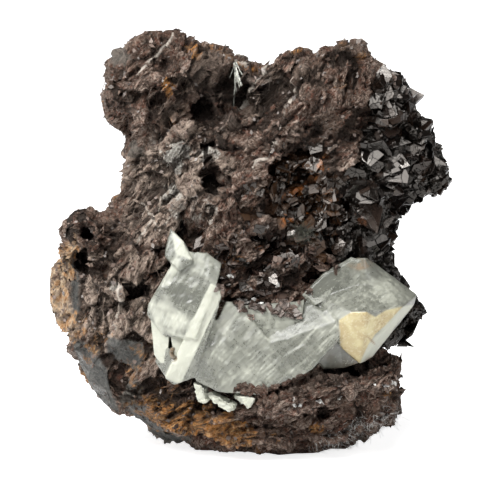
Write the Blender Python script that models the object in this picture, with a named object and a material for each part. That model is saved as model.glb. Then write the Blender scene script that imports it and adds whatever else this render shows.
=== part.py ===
"""Zinkenite specimen: brown siderite on grey host rock, with calcite rhombs and zinkenite needles.

Run it with blender --background --python part.py, or from Blender's text editor.

The named sizes are in millimetres and the meshes in metres. X runs to the right across the side with the
crystals, Y runs into the specimen and Z up. The specimen stands on its flat trimmed face, at Z = 0.

Places are given as (u, v, y): u to the right and v upward as the crystals' side is seen from slightly
above, and y the depth into the specimen, less than 0 toward the viewer.
"""

import math
import random

import bmesh
import bpy
import numpy as np
from mathutils import Euler, Matrix, Vector, noise
from mathutils.geometry import delaunay_2d_cdt
from mathutils.kdtree import KDTree

MM = 0.001
SIGHT_TILT = math.radians(10)  # how far the crystals' side is seen from above
GAP = 0.35  # between solids that touch
MEETING = 0.0005  # corners this close meet
HAIR = 0.01  # how far meeting corners are drawn apart
MIDDLE = (0.35, 2.25)  # the u and y over which the origin lies, in the middle of the finished specimen

# The body: its outline, clockwise from the notch at the neck, and its depth in front and behind.
OUTLINE = (
    # The upper left lobe.
    (-19.5, 51.6), (-22.4, 52.8), (-24.6, 55.2), (-24.9, 58.2), (-24.3, 61.8), (-24.3, 64.0),
    (-22.2, 66.0), (-21.2, 67.0), (-17.8, 70.0), (-15.8, 69.8), (-11.2, 69.7), (-8.2, 68.8),
    (-7.5, 67.4),
    # The edge over the cavity, and the second peak.
    (-4.5, 67.3), (-1.8, 65.6), (2.3, 64.2), (2.6, 63.2), (4.8, 65.0), (5.7, 66.3), (7.7, 67.3),
    (11.7, 66.2), (12.5, 67.3), (14.5, 68.0), (19.3, 68.3), (19.8, 64.8),
    # The blades on the right.
    (22.0, 63.7), (25.0, 62.2), (26.3, 60.2), (27.7, 57.3), (28.0, 54.7), (30.7, 54.0),
    (31.7, 52.0), (32.2, 49.3), (33.7, 44.8), (33.2, 43.8), (29.2, 42.5), (25.2, 40.0),
    (24.5, 37.2), (23.7, 34.7), (24.2, 30.7), (26.5, 27.8), (28.0, 25.3), (29.3, 24.3),
    (28.3, 21.0), (27.2, 18.8), (25.5, 17.4), (24.4, 17.1),
    # The wedge-shaped gap over the lower ledge.
    (22.9, 17.2), (20.2, 15.3),
    # The lower ledge.
    (22.6, 15.7), (24.2, 16.2), (25.2, 14.3), (25.0, 11.3), (26.2, 8.7), (25.2, 5.3), (21.3, 3.5),
    (18.2, 1.5), (15.7, 0.1), (12.8, -0.2), (10.3, -1.5), (5.2, -1.8), (0.0, -1.0), (-4.5, -0.7),
    # The trimmed foot, and the host rock on the left.
    (-8.7, -0.5), (-10.3, 0.7), (-14.8, 1.8), (-16.5, 2.7), (-17.5, 4.2), (-21.5, 5.8),
    (-24.2, 6.8), (-26.3, 9.3), (-27.7, 12.2), (-29.7, 16.2), (-31.0, 19.7), (-33.6, 25.7),
    (-32.8, 30.3), (-31.4, 33.2), (-31.2, 35.5), (-29.7, 38.5), (-27.7, 40.3), (-24.5, 39.4),
    # The neck.
    (-22.7, 41.7), (-21.3, 44.8), (-20.6, 46.7), (-21.5, 47.7), (-21.9, 49.3), (-20.6, 50.4),
)
FRONT = (  # u, v and how far the body reaches toward the viewer there
    (-16.7, 60.7, 11), (-16.7, 67.0, 7), (-10.0, 56.5, 9), (-11.7, 62.0, 11), (-2.5, 60.0, 6),
    (-4.2, 64.8, 8), (2.0, 62.3, 10), (10.0, 58.2, 13), (15.8, 66.0, 8), (22.5, 59.5, 10),
    (29.2, 48.2, 6), (23.3, 46.5, 12), (8.3, 44.0, 12), (5.8, 38.2, 12), (15.8, 39.0, 12),
    (20.8, 35.7, 10), (25.8, 24.8, 5), (2.5, 49.0, 14), (-8.3, 46.5, 12), (-3.3, 39.8, 15),
    (-19.2, 43.2, 7), (-25.0, 33.2, 8), (-18.3, 29.8, 13), (-31.7, 26.5, 4), (-8.3, 24.8, 15),
    (6.7, 24.8, 14), (18.0, 24.8, 12), (-25.0, 13.2, 8), (-18.3, 16.5, 12), (-11.7, 5.7, 12),
    (0.0, 5.5, 15), (8.3, 9.0, 19), (20.0, 9.8, 15), (8.3, 1.5, 11), (24.2, 8.2, 9),
)
BACK = (  # the same, away from the viewer
    (-16.0, 60.0, 12), (0.0, 58.0, 15), (16.0, 60.0, 12), (28.0, 48.0, 9), (-18.0, 42.0, 14),
    (0.0, 42.0, 21), (18.0, 40.0, 17), (-26.0, 28.0, 13), (0.0, 24.0, 25), (20.0, 24.0, 18),
    (-20.0, 12.0, 17), (0.0, 6.0, 24), (20.0, 8.0, 17),
)
EDGE_ROUND = 7.0  # how far in from the outline the body reaches its full depth
OUTLINE_INSET = -0.1
GRID_STEP = 0.9
VOXEL = 0.55
BODY_TRIANGLES = 4700
BACK_FACETS = (  # planes that the rock broke along behind: a point on each and the way it faces
    ((-20, 14, 50), (-0.7, 0.8, 0.35)),
    ((10, 17, 56), (0.25, 0.85, 0.6)),
    ((24, 13, 36), (0.75, 0.75, 0.05)),
    ((-8, 23, 26), (-0.2, 1.0, 0.1)),
    ((-24, 14, 20), (-0.75, 0.8, -0.2)),
    ((18, 18, 12), (0.55, 0.9, -0.15)),
)

# Ledges and lumps: u, v and how far the middle stands out from the body, then length, width and
# thickness, and turn and lean in degrees.
LEDGES = (
    (-11.0, 63.2, 1.2, 11.0, 4.4, 3.4, 42, 24),  # the plate over the cavity
    (-17.2, 64.6, 0.4, 8.5, 5.0, 3.5, 42, -20),  # the top facet of the lobe
    (-21.2, 59.0, 0.3, 6.0, 5.0, 4.0, -65, 15),
    (-14.6, 56.2, 0.6, 8.5, 4.4, 3.0, 30, 20),
    (0.2, 59.6, 1.6, 9.0, 2.6, 3.4, 56, 35),  # the ridge right of the cavity
    (5.6, 62.8, 0.6, 8.0, 4.4, 3.2, 40, 18),
    (13.6, 65.6, 0.6, 7.2, 4.0, 2.2, 12, 28),  # slabs of the right peak
    (16.6, 62.6, 0.8, 6.6, 4.2, 2.4, 20, 25),
    (9.6, 56.6, 0.8, 9.5, 5.5, 3.6, 30, 10),
    (15.2, 56.0, 0.6, 7.0, 5.0, 3.4, 48, -14),
    (4.0, 52.2, 0.9, 8.0, 4.4, 3.6, 35, 22),
    (2.8, 48.4, 1.6, 8.0, 2.4, 3.4, 70, 30),  # the bright ridge in the middle
    (-4.6, 52.6, 0.6, 9.5, 4.5, 3.4, 34, 16),
    (-12.0, 50.0, 0.6, 8.5, 4.0, 3.2, 28, 18),
    (-9.6, 41.0, 0.7, 9.0, 4.8, 3.4, 40, 10),
    (-1.6, 43.0, 1.0, 8.0, 4.2, 3.6, 30, 24),
    (-3.6, 36.0, 0.9, 8.5, 3.6, 3.2, 22, 12),
    (-16.6, 38.0, 0.6, 9.0, 4.6, 3.0, 50, 20),
    (3.2, 38.6, 1.0, 6.4, 2.2, 2.6, 8, 36),  # the row of pale slabs under the hollow
    (8.6, 32.6, 0.8, 6.0, 2.6, 2.6, 30, 40),
    (5.0, 30.0, 1.0, 7.0, 3.0, 2.8, 40, 30),
    (12.4, 30.4, 0.8, 6.4, 2.8, 2.8, 34, 34),
    (-27.4, 37.8, 0.4, 4.4, 3.0, 3.6, 15, 10),  # the small lump on the left
    (-25.8, 34.0, 0.8, 7.6, 3.2, 2.6, 62, 28),
    (-21.6, 30.0, 0.7, 9.0, 4.0, 3.0, 68, 18),
    (-25.0, 24.0, 0.6, 9.5, 4.4, 3.0, 80, 15),
    (-21.0, 20.0, 0.6, 8.5, 4.2, 3.0, 58, -12),
    (-24.0, 14.0, 0.5, 8.5, 5.5, 4.0, 70, -22),  # smooth facets of the host rock
    (-20.0, 8.6, 0.5, 8.0, 5.0, 4.0, 20, -25),
    (-10.6, 4.6, 0.6, 9.5, 4.4, 4.0, 5, -20),
    (-3.6, 6.4, 1.0, 9.0, 3.4, 3.4, 10, 14),  # the lower ledge, in layers
    (4.6, 7.6, 1.4, 10.0, 4.0, 4.4, 4, 22),
    (12.6, 10.4, 1.4, 9.5, 3.8, 4.4, 10, 24),
    (19.4, 11.4, 1.2, 9.0, 3.8, 4.6, 14, 18),
    (2.6, 2.2, 0.8, 10.0, 3.0, 3.6, 3, -14),
    (11.6, 2.6, 1.2, 10.0, 3.4, 4.0, -2, -16),
    (20.0, 5.6, 1.0, 8.0, 3.6, 4.0, 8, -12),
)
SMALL_LEDGES = 150
# Which way the grain of the siderite runs: u, v and the angle from the level.
GRAIN = ((-16, 60, 45), (10, 60, 38), (0, 45, 34), (-22, 28, 66), (-14, 8, 12), (10, 6, 5), (26, 50, -60))

PITS = (  # u, v, then half the width, height and depth, and turn in degrees
    (-2.9, 59.6, 3.0, 4.4, 6.4, 30),  # the cavity with the zinkenite
    (-8.0, 56.8, 1.7, 1.6, 4.0, 0),
    (-6.2, 44.8, 1.6, 2.4, 3.6, 10),
    (-7.0, 51.0, 1.2, 1.3, 3.0, 0),
    (-28.3, 31.2, 1.4, 2.2, 5.0, 8),  # the black hole on the left edge
    (-27.4, 36.2, 1.9, 0.9, 4.0, 25),
    (-20.0, 26.2, 1.9, 1.2, 3.4, 20),
    (-24.2, 29.6, 0.9, 1.6, 3.0, 10),
    (-12.8, 5.7, 1.5, 0.7, 3.0, 0),
    (8.0, 53.2, 2.4, 1.0, 3.0, 38),  # joints between the ledges, along the grain
    (-1.2, 55.4, 3.2, 1.0, 3.2, 34),
    (-10.6, 46.0, 3.0, 0.9, 3.0, 34),
    (-14.4, 33.6, 2.6, 0.9, 3.2, 50),
    (13.6, 60.6, 2.2, 0.8, 2.8, 40),
    (4.4, 34.8, 2.6, 1.4, 4.0, 24),  # dark hollows over the calcite
    (10.6, 28.8, 2.2, 1.5, 4.0, 40),
    (8.0, 5.4, 6.5, 0.7, 3.0, 3),  # the joint between the layers of the lower ledge
    (-4.6, 3.4, 3.0, 0.6, 2.6, 5),
    (16.8, 13.2, 3.4, 1.0, 4.4, 12),  # the slot between the calcite and the ledge
)

# The hollow with the resinous crystals, and how thick its crust is.
HOLLOW = (8.6, 42.4, -12.6, 5.6, 7.0, 7.4, 16)
HOLLOW_FRONT = -13.6
HOLLOW_SEED = 50
CRUST = 1.2
CRUST_CRYSTALS = 11

# The blades: the region that they fill, its back, and the size of a blade.
BLADES_EDGE = (
    (18.4, 75.0), (18.9, 62.0), (20.2, 55.3), (17.6, 49.8), (15.4, 41.5), (13.2, 33.2), (14.4, 25.0),
    (20.2, 15.7), (22.8, 17.0), (26.0, 16.4), (42.0, 16.4), (42.0, 75.0),
)
BLADES_BACK = 9.0
BLADES_SLANT = 0.35  # how far its left edge goes to the right for each millimetre in
BLADES_LEVEL = -12.0  # the depth at which the region's edge is as listed
SLANT_FROM, SLANT_FULL = 20.0, 40.0  # heights between which the slant sets in
BLADE_COUNT = 34
BLADE_SIZE = (5.2, 3.8, 1.1)
BLADE_MARGIN = 0.9  # between a blade's middle and the region's edge
BLADE_RISE = 0.1

# Calcite: each crystal by its corners, in front and at the back.
CALCITE = (
    # The spike.
    (
        (-13.2, 36.8, -15.6), (-11.0, 34.6, -17.0), (-14.2, 32.3, -17.0), (-11.6, 29.6, -18.6),
        (-9.4, 31.2, -18.0), (-13.2, 36.4, -11.0), (-10.6, 34.0, -10.0), (-14.0, 32.0, -10.0),
        (-11.0, 28.0, -9.0),
    ),
    # The upper body of the left crystal.
    (
        (-11.6, 33.0, -16.4), (-7.2, 32.8, -16.0), (-4.7, 31.0, -16.6), (-5.4, 27.6, -18.8),
        (-14.7, 27.2, -18.0), (-16.9, 24.2, -17.0), (-17.0, 22.2, -16.8), (-14.3, 18.8, -17.6),
        (-9.0, 18.4, -20.4), (-10.6, 31.0, -9.0), (-5.2, 30.0, -9.0), (-16.0, 23.6, -9.0),
        (-9.0, 19.0, -9.0),
    ),
    # The white beam across it.
    (
        (-4.3, 26.5, -18.4), (-6.3, 27.7, -18.8), (-14.2, 12.0, -18.8), (-12.7, 10.7, -18.6),
        (-9.2, 12.0, -18.8), (-7.3, 17.4, -20.0), (-5.0, 25.6, -10.0), (-12.4, 11.8, -10.0),
        (-9.6, 12.6, -10.0),
    ),
    # The foot on its left.
    (
        (-15.2, 17.2, -16.4), (-15.8, 14.5, -16.2), (-14.1, 12.1, -17.0), (-12.4, 12.6, -18.2),
        (-12.6, 17.0, -18.4), (-15.0, 16.6, -11.0), (-12.6, 13.0, -10.0),
    ),
    # The two crystals in the middle, with a notch between them.
    (
        (-4.0, 24.7, -16.4), (-1.7, 24.5, -16.0), (3.0, 18.5, -18.2), (2.4, 9.0, -19.4),
        (-5.3, 9.6, -19.6), (-9.1, 11.4, -18.8), (-7.6, 17.3, -19.0), (-3.0, 24.0, -9.0),
        (3.0, 17.5, -9.0), (2.0, 10.2, -9.0), (-7.6, 12.2, -9.0),
    ),
    (
        (9.5, 25.0, -13.6), (14.7, 21.5, -17.8), (15.0, 18.5, -18.4), (10.3, 13.3, -19.4),
        (7.0, 11.5, -19.4), (1.4, 9.6, -19.2), (1.6, 17.2, -18.4), (4.5, 20.3, -16.6),
        (9.0, 24.0, -8.0), (14.0, 20.0, -8.0), (10.0, 13.6, -9.0), (3.0, 11.0, -9.0),
    ),
    # The big rhomb on the right.
    (
        (9.5, 26.6, -11.4), (12.3, 29.4, -9.0), (17.2, 32.0, -7.0), (19.5, 32.0, -6.6),
        (27.8, 25.8, -8.6), (27.3, 24.0, -9.0), (20.3, 15.3, -12.6), (18.2, 14.2, -16.4),
        (15.0, 17.0, -17.4), (14.7, 21.5, -18.6), (16.8, 22.8, -19.2), (19.3, 22.8, -19.6),
        (25.3, 23.7, -15.6), (11.0, 25.0, -3.5), (18.0, 30.0, -1.6), (25.6, 24.6, -2.6),
        (19.0, 16.4, -4.6),
    ),
)
# Small calcite crystals: centre, then length, width and thickness, and turn and lean in degrees.
CHIPS = (
    (-8.2, 9.8, -17.6, 4.0, 1.7, 3.2, -72, 10),
    (-4.6, 7.9, -17.8, 4.4, 1.3, 3.0, -28, 8),
    (-0.8, 8.6, -18.4, 3.0, 1.9, 3.0, -40, -12),
)

# Zinkenite: where the spray grows from, and the tips of its needles.
SPRAY_ROOT = (-2.5, 63.9, -8.8)
SPRAY_TIPS = (
    (-2.9, 60.0, -9.6), (-2.3, 59.4, -10.0), (-1.8, 58.8, -9.4), (-1.0, 61.8, -10.2),
    (-3.6, 61.0, -9.4), (-2.7, 56.9, -9.2), (-0.9, 60.2, -9.0), (-3.2, 58.6, -8.8),
)
SPRAY_LUMP = 1.0
NEEDLE_WIDTH = 0.4
FELT_ROOT = (8.6, 35.6, -14.6)
FELT_TIPS = (
    (6.8, 37.2, -16.2), (7.8, 37.6, -16.6), (9.2, 37.4, -16.4), (10.4, 36.8, -15.8),
    (10.6, 35.4, -15.8), (7.0, 34.8, -16.0), (9.0, 36.0, -17.0),
)
FELT_LUMP = 1.1

COLOURS = {  # base colour, roughness and metallic
    "host_rock": ((0.12, 0.085, 0.07), 0.75, 0.0),
    "siderite_blades": ((0.05, 0.035, 0.03), 0.3, 0.0),
    "siderite_crust": ((0.16, 0.07, 0.025), 0.35, 0.0),
    "calcite_rhombs": ((0.72, 0.73, 0.66), 0.25, 0.0),
    "calcite_chip": ((0.8, 0.81, 0.75), 0.3, 0.0),
    "zinkenite_spray": ((0.34, 0.35, 0.36), 0.3, 0.9),
    "zinkenite_felt": ((0.24, 0.26, 0.27), 0.4, 0.8),
}


def at(u, v, y):
    """The point seen u to the right and v up, y into the specimen, in metres."""
    z = (v - y * math.sin(SIGHT_TILT)) / math.cos(SIGHT_TILT)
    return Vector((u, y, z)) * MM


def clear_scene():
    for item in list(bpy.data.objects):
        bpy.data.objects.remove(item, do_unlink=True)


def object_of(mesh, name):
    item = bpy.data.objects.new(name, mesh)
    bpy.context.scene.collection.objects.link(item)
    return item


def mesh_from(bm, name):
    mesh = bpy.data.meshes.new(name)
    bm.to_mesh(mesh)
    bm.free()
    return mesh


def settled(item):
    """The item's mesh with its modifiers worked out. The item is removed."""
    graph = bpy.context.evaluated_depsgraph_get()
    mesh = bpy.data.meshes.new_from_object(item.evaluated_get(graph))
    bpy.data.objects.remove(item, do_unlink=True)
    return mesh


def combined(mesh, other, operation, solver="EXACT"):
    """The Boolean of two closed meshes. The solver is MANIFOLD where EXACT loses the craggy body."""
    item = object_of(triangulated(mesh), "combined")
    tool = object_of(triangulated(other), "tool")
    tool.hide_render = True
    tool.display_type = "WIRE"
    step = item.modifiers.new("combine", "BOOLEAN")
    step.operation = operation
    step.solver = solver
    step.object = tool
    result = triangulated(settled(item))
    bpy.data.objects.remove(tool, do_unlink=True)
    return result


def joined(meshes, name):
    """The meshes in one, with nothing merged."""
    bm = bmesh.new()
    for mesh in meshes:
        bm.from_mesh(mesh)
    return mesh_from(bm, name)


def islands(bm):
    """The vertices of each connected piece."""
    left = set(bm.verts)
    found = []
    while left:
        start = left.pop()
        piece = {start}
        edge_of_search = [start]
        while edge_of_search:
            vert = edge_of_search.pop()
            for edge in vert.link_edges:
                other = edge.other_vert(vert)
                if other in left:
                    left.remove(other)
                    piece.add(other)
                    edge_of_search.append(other)
        found.append(piece)
    return found


def largest_piece(mesh):
    """The mesh without its loose crumbs and sealed bubbles."""
    bm = bmesh.new()
    bm.from_mesh(mesh)
    pieces = islands(bm)
    pieces.sort(key=len)
    crumbs = [vert for piece in pieces[:-1] for vert in piece]
    bmesh.ops.delete(bm, geom=crumbs, context="VERTS")
    return mesh_from(bm, mesh.name)


def triangulated(mesh):
    """The mesh with every face cut into triangles."""
    bm = bmesh.new()
    bm.from_mesh(mesh)
    bmesh.ops.triangulate(bm, faces=bm.faces)
    return mesh_from(bm, mesh.name)


def parted(mesh):
    """The mesh with corners that meet at one point, but aren't joined, drawn a hair into the solid."""
    bm = bmesh.new()
    bm.from_mesh(mesh)
    bm.normal_update()
    bm.verts.ensure_lookup_table()
    tree = KDTree(len(bm.verts))
    for vert in bm.verts:
        tree.insert(vert.co, vert.index)
    tree.balance()
    moved = set()
    for vert in bm.verts:
        beside = {edge.other_vert(vert).index for edge in vert.link_edges}
        for _, index, _ in tree.find_range(vert.co, MEETING * MM):
            if index != vert.index and index not in beside:
                moved.update((vert.index, index))
    for index in moved:
        vert = bm.verts[index]
        vert.co = vert.co - vert.normal * (HAIR * MM)
    return mesh_from(bm, mesh.name)


def hull(points, name="hull"):
    """The convex solid round the points, with its flat sides as single faces."""
    bm = bmesh.new()
    for point in points:
        bm.verts.new(point)
    made = bmesh.ops.convex_hull(bm, input=bm.verts)
    loose = set(made["geom_interior"]) | set(made["geom_unused"])
    bmesh.ops.delete(bm, geom=[g for g in loose if isinstance(g, bmesh.types.BMVert)], context="VERTS")
    bmesh.ops.dissolve_limit(bm, angle_limit=math.radians(1), verts=bm.verts, edges=bm.edges)
    bmesh.ops.recalc_face_normals(bm, faces=bm.faces)
    return mesh_from(bm, name)


def slab(centre, size, turn, lean, seed):
    """A broken chip of rock: a box with jittered corners, its long side at an angle to the level."""
    chance = random.Random(seed)
    way = Euler((math.radians(lean), 0, 0)).to_matrix()
    way = Euler((0, -math.radians(turn), 0)).to_matrix() @ way
    length, width, thick = (side * MM for side in size)
    points = []
    for i in (-1, 1):
        for j in (-1, 1):
            for k in (-1, 1):
                taper = 1 - 0.25 * (k < 0)
                corner = Vector((i * length * taper, k * thick, j * width * taper)) / 2
                corner *= chance.uniform(0.78, 1.12)
                points.append(centre + way @ corner)
        points.append(centre + way @ Vector((i * length * chance.uniform(0.5, 0.68), 0, 0)))
    return hull(points)


def blade(centre, size, way):
    """A flat rhomb, thinner at its rim."""
    length, width, thick = (side * MM / 2 for side in size)
    points = []
    for x, z in ((length, 0), (0, width), (-length, 0), (0, -width)):
        points.append(centre + way @ Vector((x, 0, z)))
        for k in (-1, 1):
            points.append(centre + way @ Vector((x * 0.6, k * thick, z * 0.6)))
    return hull(points)


def pit(u, v, y, across, up, deep, turn, seed, grow=0.0):
    """A rounded hollow's inside, with an uneven wall."""
    bm = bmesh.new()
    bmesh.ops.create_icosphere(bm, subdivisions=2, radius=1.0)
    swing = Euler((0, -math.radians(turn), 0)).to_matrix()
    for vert in bm.verts:
        uneven = 1 + 0.3 * noise.noise(vert.co * 1.7 + Vector((seed * 3.1, 0, 0)))
        shape = Vector((across + grow, deep + grow, up + grow)) * MM * uneven
        vert.co = at(u, v, y) + swing @ Vector([a * b for a, b in zip(vert.co, shape)])
    return mesh_from(bm, "pit")


def outline_distance(points, outline):
    """How far each point lies inside the outline, and less than 0 outside it."""
    start = np.array(outline)
    way = np.roll(start, -1, axis=0) - start
    from_start = points[:, None, :] - start[None, :, :]
    along = np.clip((from_start * way).sum(axis=2) / (way**2).sum(axis=1), 0, 1)
    away = np.linalg.norm(from_start - along[:, :, None] * way, axis=2).min(axis=1)
    x, y = points[:, :1], points[:, 1:]
    low, high = start[:, 1], start[:, 1] + way[:, 1]
    crosses = (low > y) != (high > y)
    reach = start[:, 0] + (y - low) / np.where(way[:, 1] == 0, 1, way[:, 1]) * way[:, 0]
    inside = (crosses & (x < reach)).sum(axis=1) % 2 == 1
    return np.where(inside, away, -away)


def blended(places, points):
    """The places' values, spread between them by nearness."""
    values = np.array(places, dtype=float)
    away = np.linalg.norm(points[:, None, :] - values[None, :, :2], axis=2)
    weight = 1 / (away + 1.5) ** 3.5
    return (weight * values[:, 2]).sum(axis=1) / weight.sum(axis=1)


def depth(places, points, outline):
    """How far the body reaches from its rim at the points, round toward the outline."""
    inside = np.clip(outline_distance(points, outline) / EDGE_ROUND, 0, 1)
    return blended(places, points) * np.sqrt(1 - (1 - inside) ** 2)


def stepped_outline():
    """The outline in short steps, moved in a little."""
    ring = np.array(OUTLINE)
    ahead = np.roll(ring, -1, axis=0) - ring
    behind = ring - np.roll(ring, 1, axis=0)
    way = ahead / np.linalg.norm(ahead, axis=1)[:, None] + behind / np.linalg.norm(behind, axis=1)[:, None]
    way /= np.linalg.norm(way, axis=1)[:, None]
    ring = ring + OUTLINE_INSET * np.stack((way[:, 1], -way[:, 0]), axis=1)
    steps = []
    for start, end in zip(ring, np.roll(ring, -1, axis=0)):
        count = max(1, round(float(np.linalg.norm(end - start)) / GRID_STEP))
        steps.extend(start + (end - start) * i / count for i in range(count))
    return np.array(steps)


def pillow():
    """The body's rough form: a front and a back over the outline."""
    rim = stepped_outline()
    low, high = rim.min(axis=0), rim.max(axis=0)
    across, up = np.meshgrid(
        np.arange(low[0], high[0], GRID_STEP), np.arange(low[1], high[1], GRID_STEP)
    )
    grid = np.stack((across.ravel(), up.ravel()), axis=1)
    grid = grid[outline_distance(grid, rim) > GRID_STEP * 0.5]
    flat = [Vector(p) for p in np.concatenate((rim, grid)).tolist()]
    count = len(rim)
    plan, _, faces, *_ = delaunay_2d_cdt(flat, [], [list(range(count))], 1, 1e-6)
    points = np.array([tuple(p) for p in plan])
    front = -depth(FRONT, points, rim)
    back = depth(BACK, points, rim)
    bm = bmesh.new()
    near = [bm.verts.new(at(u, v, y)) for (u, v), y in zip(points, front)]
    far = []
    for i, ((u, v), y) in enumerate(zip(points, back)):
        far.append(near[i] if i < count else bm.verts.new(at(u, v, y)))
    for a, b, c in faces:
        bm.faces.new((near[a], near[b], near[c]))
        if {far[a], far[b], far[c]} != {near[a], near[b], near[c]}:
            bm.faces.new((far[c], far[b], far[a]))
    bmesh.ops.recalc_face_normals(bm, faces=bm.faces)
    return mesh_from(bm, "pillow")


def front_at(u, v, outline):
    """How far in the body's front lies."""
    return -float(depth(FRONT, np.array([[u, v]]), outline)[0])


def front_place(chance, outline):
    """A chance place on the body's front: u, v, y, and how the surface leans there."""
    while True:
        place = np.array([[chance.uniform(-32, 32), chance.uniform(0, 68)]])
        if outline_distance(place, outline)[0] > 1.6:
            break
    around = np.concatenate((place, place + [[0.8, 0]], place + [[0, 0.8]]))
    y, beside, above = -depth(FRONT, around, outline)
    return place[0, 0], place[0, 1], y, (beside - y) / 0.8, (above - y) / 0.8


def small_ledges():
    """Chips all over the front and back, along the grain."""
    chance = random.Random(41)
    outline = stepped_outline()
    chips = []
    for i in range(SMALL_LEDGES):
        u, v, y, _, rise = front_place(chance, outline)
        turn = float(blended(GRAIN, np.array([[u, v]]))[0]) + chance.gauss(0, 12)
        lean = math.degrees(math.atan(rise)) + chance.gauss(0, 18)
        size = (chance.uniform(3.0, 6.5), chance.uniform(1.4, 3.0), chance.uniform(1.6, 2.6))
        if i % 3 == 2:
            back = float(depth(BACK, np.array([[u, v]]), outline)[0])
            chips.append(slab(at(u, v, back - 0.4), size, turn, -lean, i))
        elif v > 18 or u > -8:
            chips.append(slab(at(u, v, y + 0.2), size, turn, lean, i))
    return chips


def broken(mesh):
    """The body with its back broken along flat planes."""
    for point, facing in BACK_FACETS:
        bm = bmesh.new()
        bm.from_mesh(mesh)
        cut = bmesh.ops.bisect_plane(
            bm,
            geom=list(bm.verts) + list(bm.edges) + list(bm.faces),
            plane_co=Vector(point) * MM,
            plane_no=Vector(facing).normalized(),
            clear_outer=True,
        )
        edges = [g for g in cut["geom_cut"] if isinstance(g, bmesh.types.BMEdge)]
        bmesh.ops.holes_fill(bm, edges=edges, sides=0)
        bmesh.ops.recalc_face_normals(bm, faces=bm.faces)
        mesh = mesh_from(bm, "broken")
    return mesh


def fused(mesh, voxel):
    """One skin round everything that overlaps."""
    item = object_of(mesh, "fused")
    step = item.modifiers.new("fuse", "REMESH")
    step.mode = "VOXEL"
    step.voxel_size = voxel * MM
    return largest_piece(settled(item))


def roughened(mesh):
    """Crags over the whole skin, longer along the grain."""
    moved = []
    for vert in mesh.vertices:
        place = vert.co / MM
        coarse = noise.noise(place * 0.22)
        cells = noise.voronoi(Vector((place.x * 0.3, place.y * 0.45, place.z * 0.42)))[0]
        fine = noise.noise(place * 0.9)
        step = 0.45 * coarse + 0.7 * (cells[1] - cells[0] - 0.35) + 0.22 * fine
        moved.append(vert.co + vert.normal * (step * MM))
    mesh.vertices.foreach_set("co", [value for place in moved for value in place])
    mesh.update()
    return mesh


def thinned(mesh, triangles):
    """The same shape in fewer triangles."""
    mesh = triangulated(mesh)
    item = object_of(mesh, "thinned")
    step = item.modifiers.new("thin", "DECIMATE")
    step.ratio = triangles / len(mesh.polygons)
    return settled(item)


def box(low, high):
    """A box between two corners, in millimetres."""
    sides = list(zip(low, high))
    points = [Vector((x, y, z)) * MM for x in sides[0] for y in sides[1] for z in sides[2]]
    return hull(points, "box")


def body():
    """The whole specimen without its crystals: fused chips, crags and pits, cut flat at the foot."""
    outline = stepped_outline()
    ledges = []
    for i, (u, v, out, length, width, thick, turn, lean) in enumerate(LEDGES):
        middle = at(u, v, front_at(u, v, outline) - out)
        ledges.append(slab(middle, (length, width, thick), turn, lean, i))
    mesh = joined([broken(pillow())] + ledges + small_ledges(), "body")
    mesh = fused(roughened(fused(mesh, VOXEL)), VOXEL)
    for i, (u, v, *size, turn) in enumerate(PITS):
        hole = pit(u, v, front_at(u, v, outline), *size, turn, i)
        mesh = combined(mesh, hole, "DIFFERENCE")
    mesh = thinned(fused(mesh, VOXEL), BODY_TRIANGLES)
    return largest_piece(combined(mesh, box((-60, -60, -30), (60, 60, 0)), "DIFFERENCE"))


def blades_region(near, far, grow=0.0):
    """The room of the blades, from one depth to another, slanting to the right as it goes in."""
    bm = bmesh.new()
    rings = []
    for y in (near, far + grow):
        ring = []
        for u, v in BLADES_EDGE:
            share = min(1, max(0, (v - SLANT_FROM) / (SLANT_FULL - SLANT_FROM)))
            aside = (y - BLADES_LEVEL) * BLADES_SLANT * share - grow
            ring.append(bm.verts.new(at(u + aside, v - grow, y)))
        rings.append(ring)
    front, back = rings
    bm.faces.new(front)
    bm.faces.new(reversed(back))
    for i in range(len(front)):
        j = (i + 1) % len(front)
        bm.faces.new((front[j], front[i], back[i], back[j]))
    bmesh.ops.triangulate(bm, faces=bm.faces)
    bmesh.ops.recalc_face_normals(bm, faces=bm.faces)
    return mesh_from(bm, "region")


def calcite(grow=0.0):
    """The calcite crystals in one, or the socket that they sit in."""
    crystals = []
    for corners in CALCITE:
        points = [at(*corner) for corner in corners]
        middle = sum(points, Vector()) / len(points)
        spread = [point + (point - middle).normalized() * grow * 1.7 * MM for point in points]
        crystals.append(hull(spread))
    return crystals


def chip_solids(grow=0.0):
    solids = []
    for i, (u, v, y, *rest) in enumerate(CHIPS):
        size = [side + 2 * grow for side in rest[:3]]
        solids.append(slab(at(u, v, y), size, rest[3], rest[4], 90 + i))
    return solids


def merged(meshes, name):
    """The closed meshes united."""
    result = meshes[0]
    for mesh in meshes[1:]:
        result = combined(result, mesh, "UNION")
    result.name = name
    return result


def needle(root, tip, width):
    """A straight needle with four sides, ending in a point."""
    way = (tip - root).normalized().to_track_quat("Z", "Y").to_matrix()
    half = width * MM / 2
    ring = [Vector((half, 0, 0)), Vector((0, half, 0)), Vector((-half, 0, 0)), Vector((0, -half, 0))]
    points = [root + way @ p for p in ring]
    neck = root.lerp(tip, 0.8)
    points += [neck + way @ (p * 0.7) for p in ring]
    points.append(tip)
    return hull(points)


def tuft(root, tips, lump, seed):
    """Needles from one small lump."""
    base = pit(*root, lump, lump * 0.8, lump, 0, seed)
    needles = [needle(at(*root), at(*tip), NEEDLE_WIDTH) for tip in tips]
    return merged([base] + needles, "tuft")


def spray_room(root, tips, lump, seed):
    """The room that a tuft needs: its lump and a wide needle round each needle."""
    rooms = [pit(*root, lump, lump * 0.8, lump, 0, seed, grow=GAP)]
    for tip in tips:
        start = at(*root)
        end = at(*tip)
        beyond = (end - start).normalized() * GAP * 3 * MM
        rooms.append(needle(start, end + beyond, NEEDLE_WIDTH + 3 * GAP))
    return merged(rooms, "room")


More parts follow.
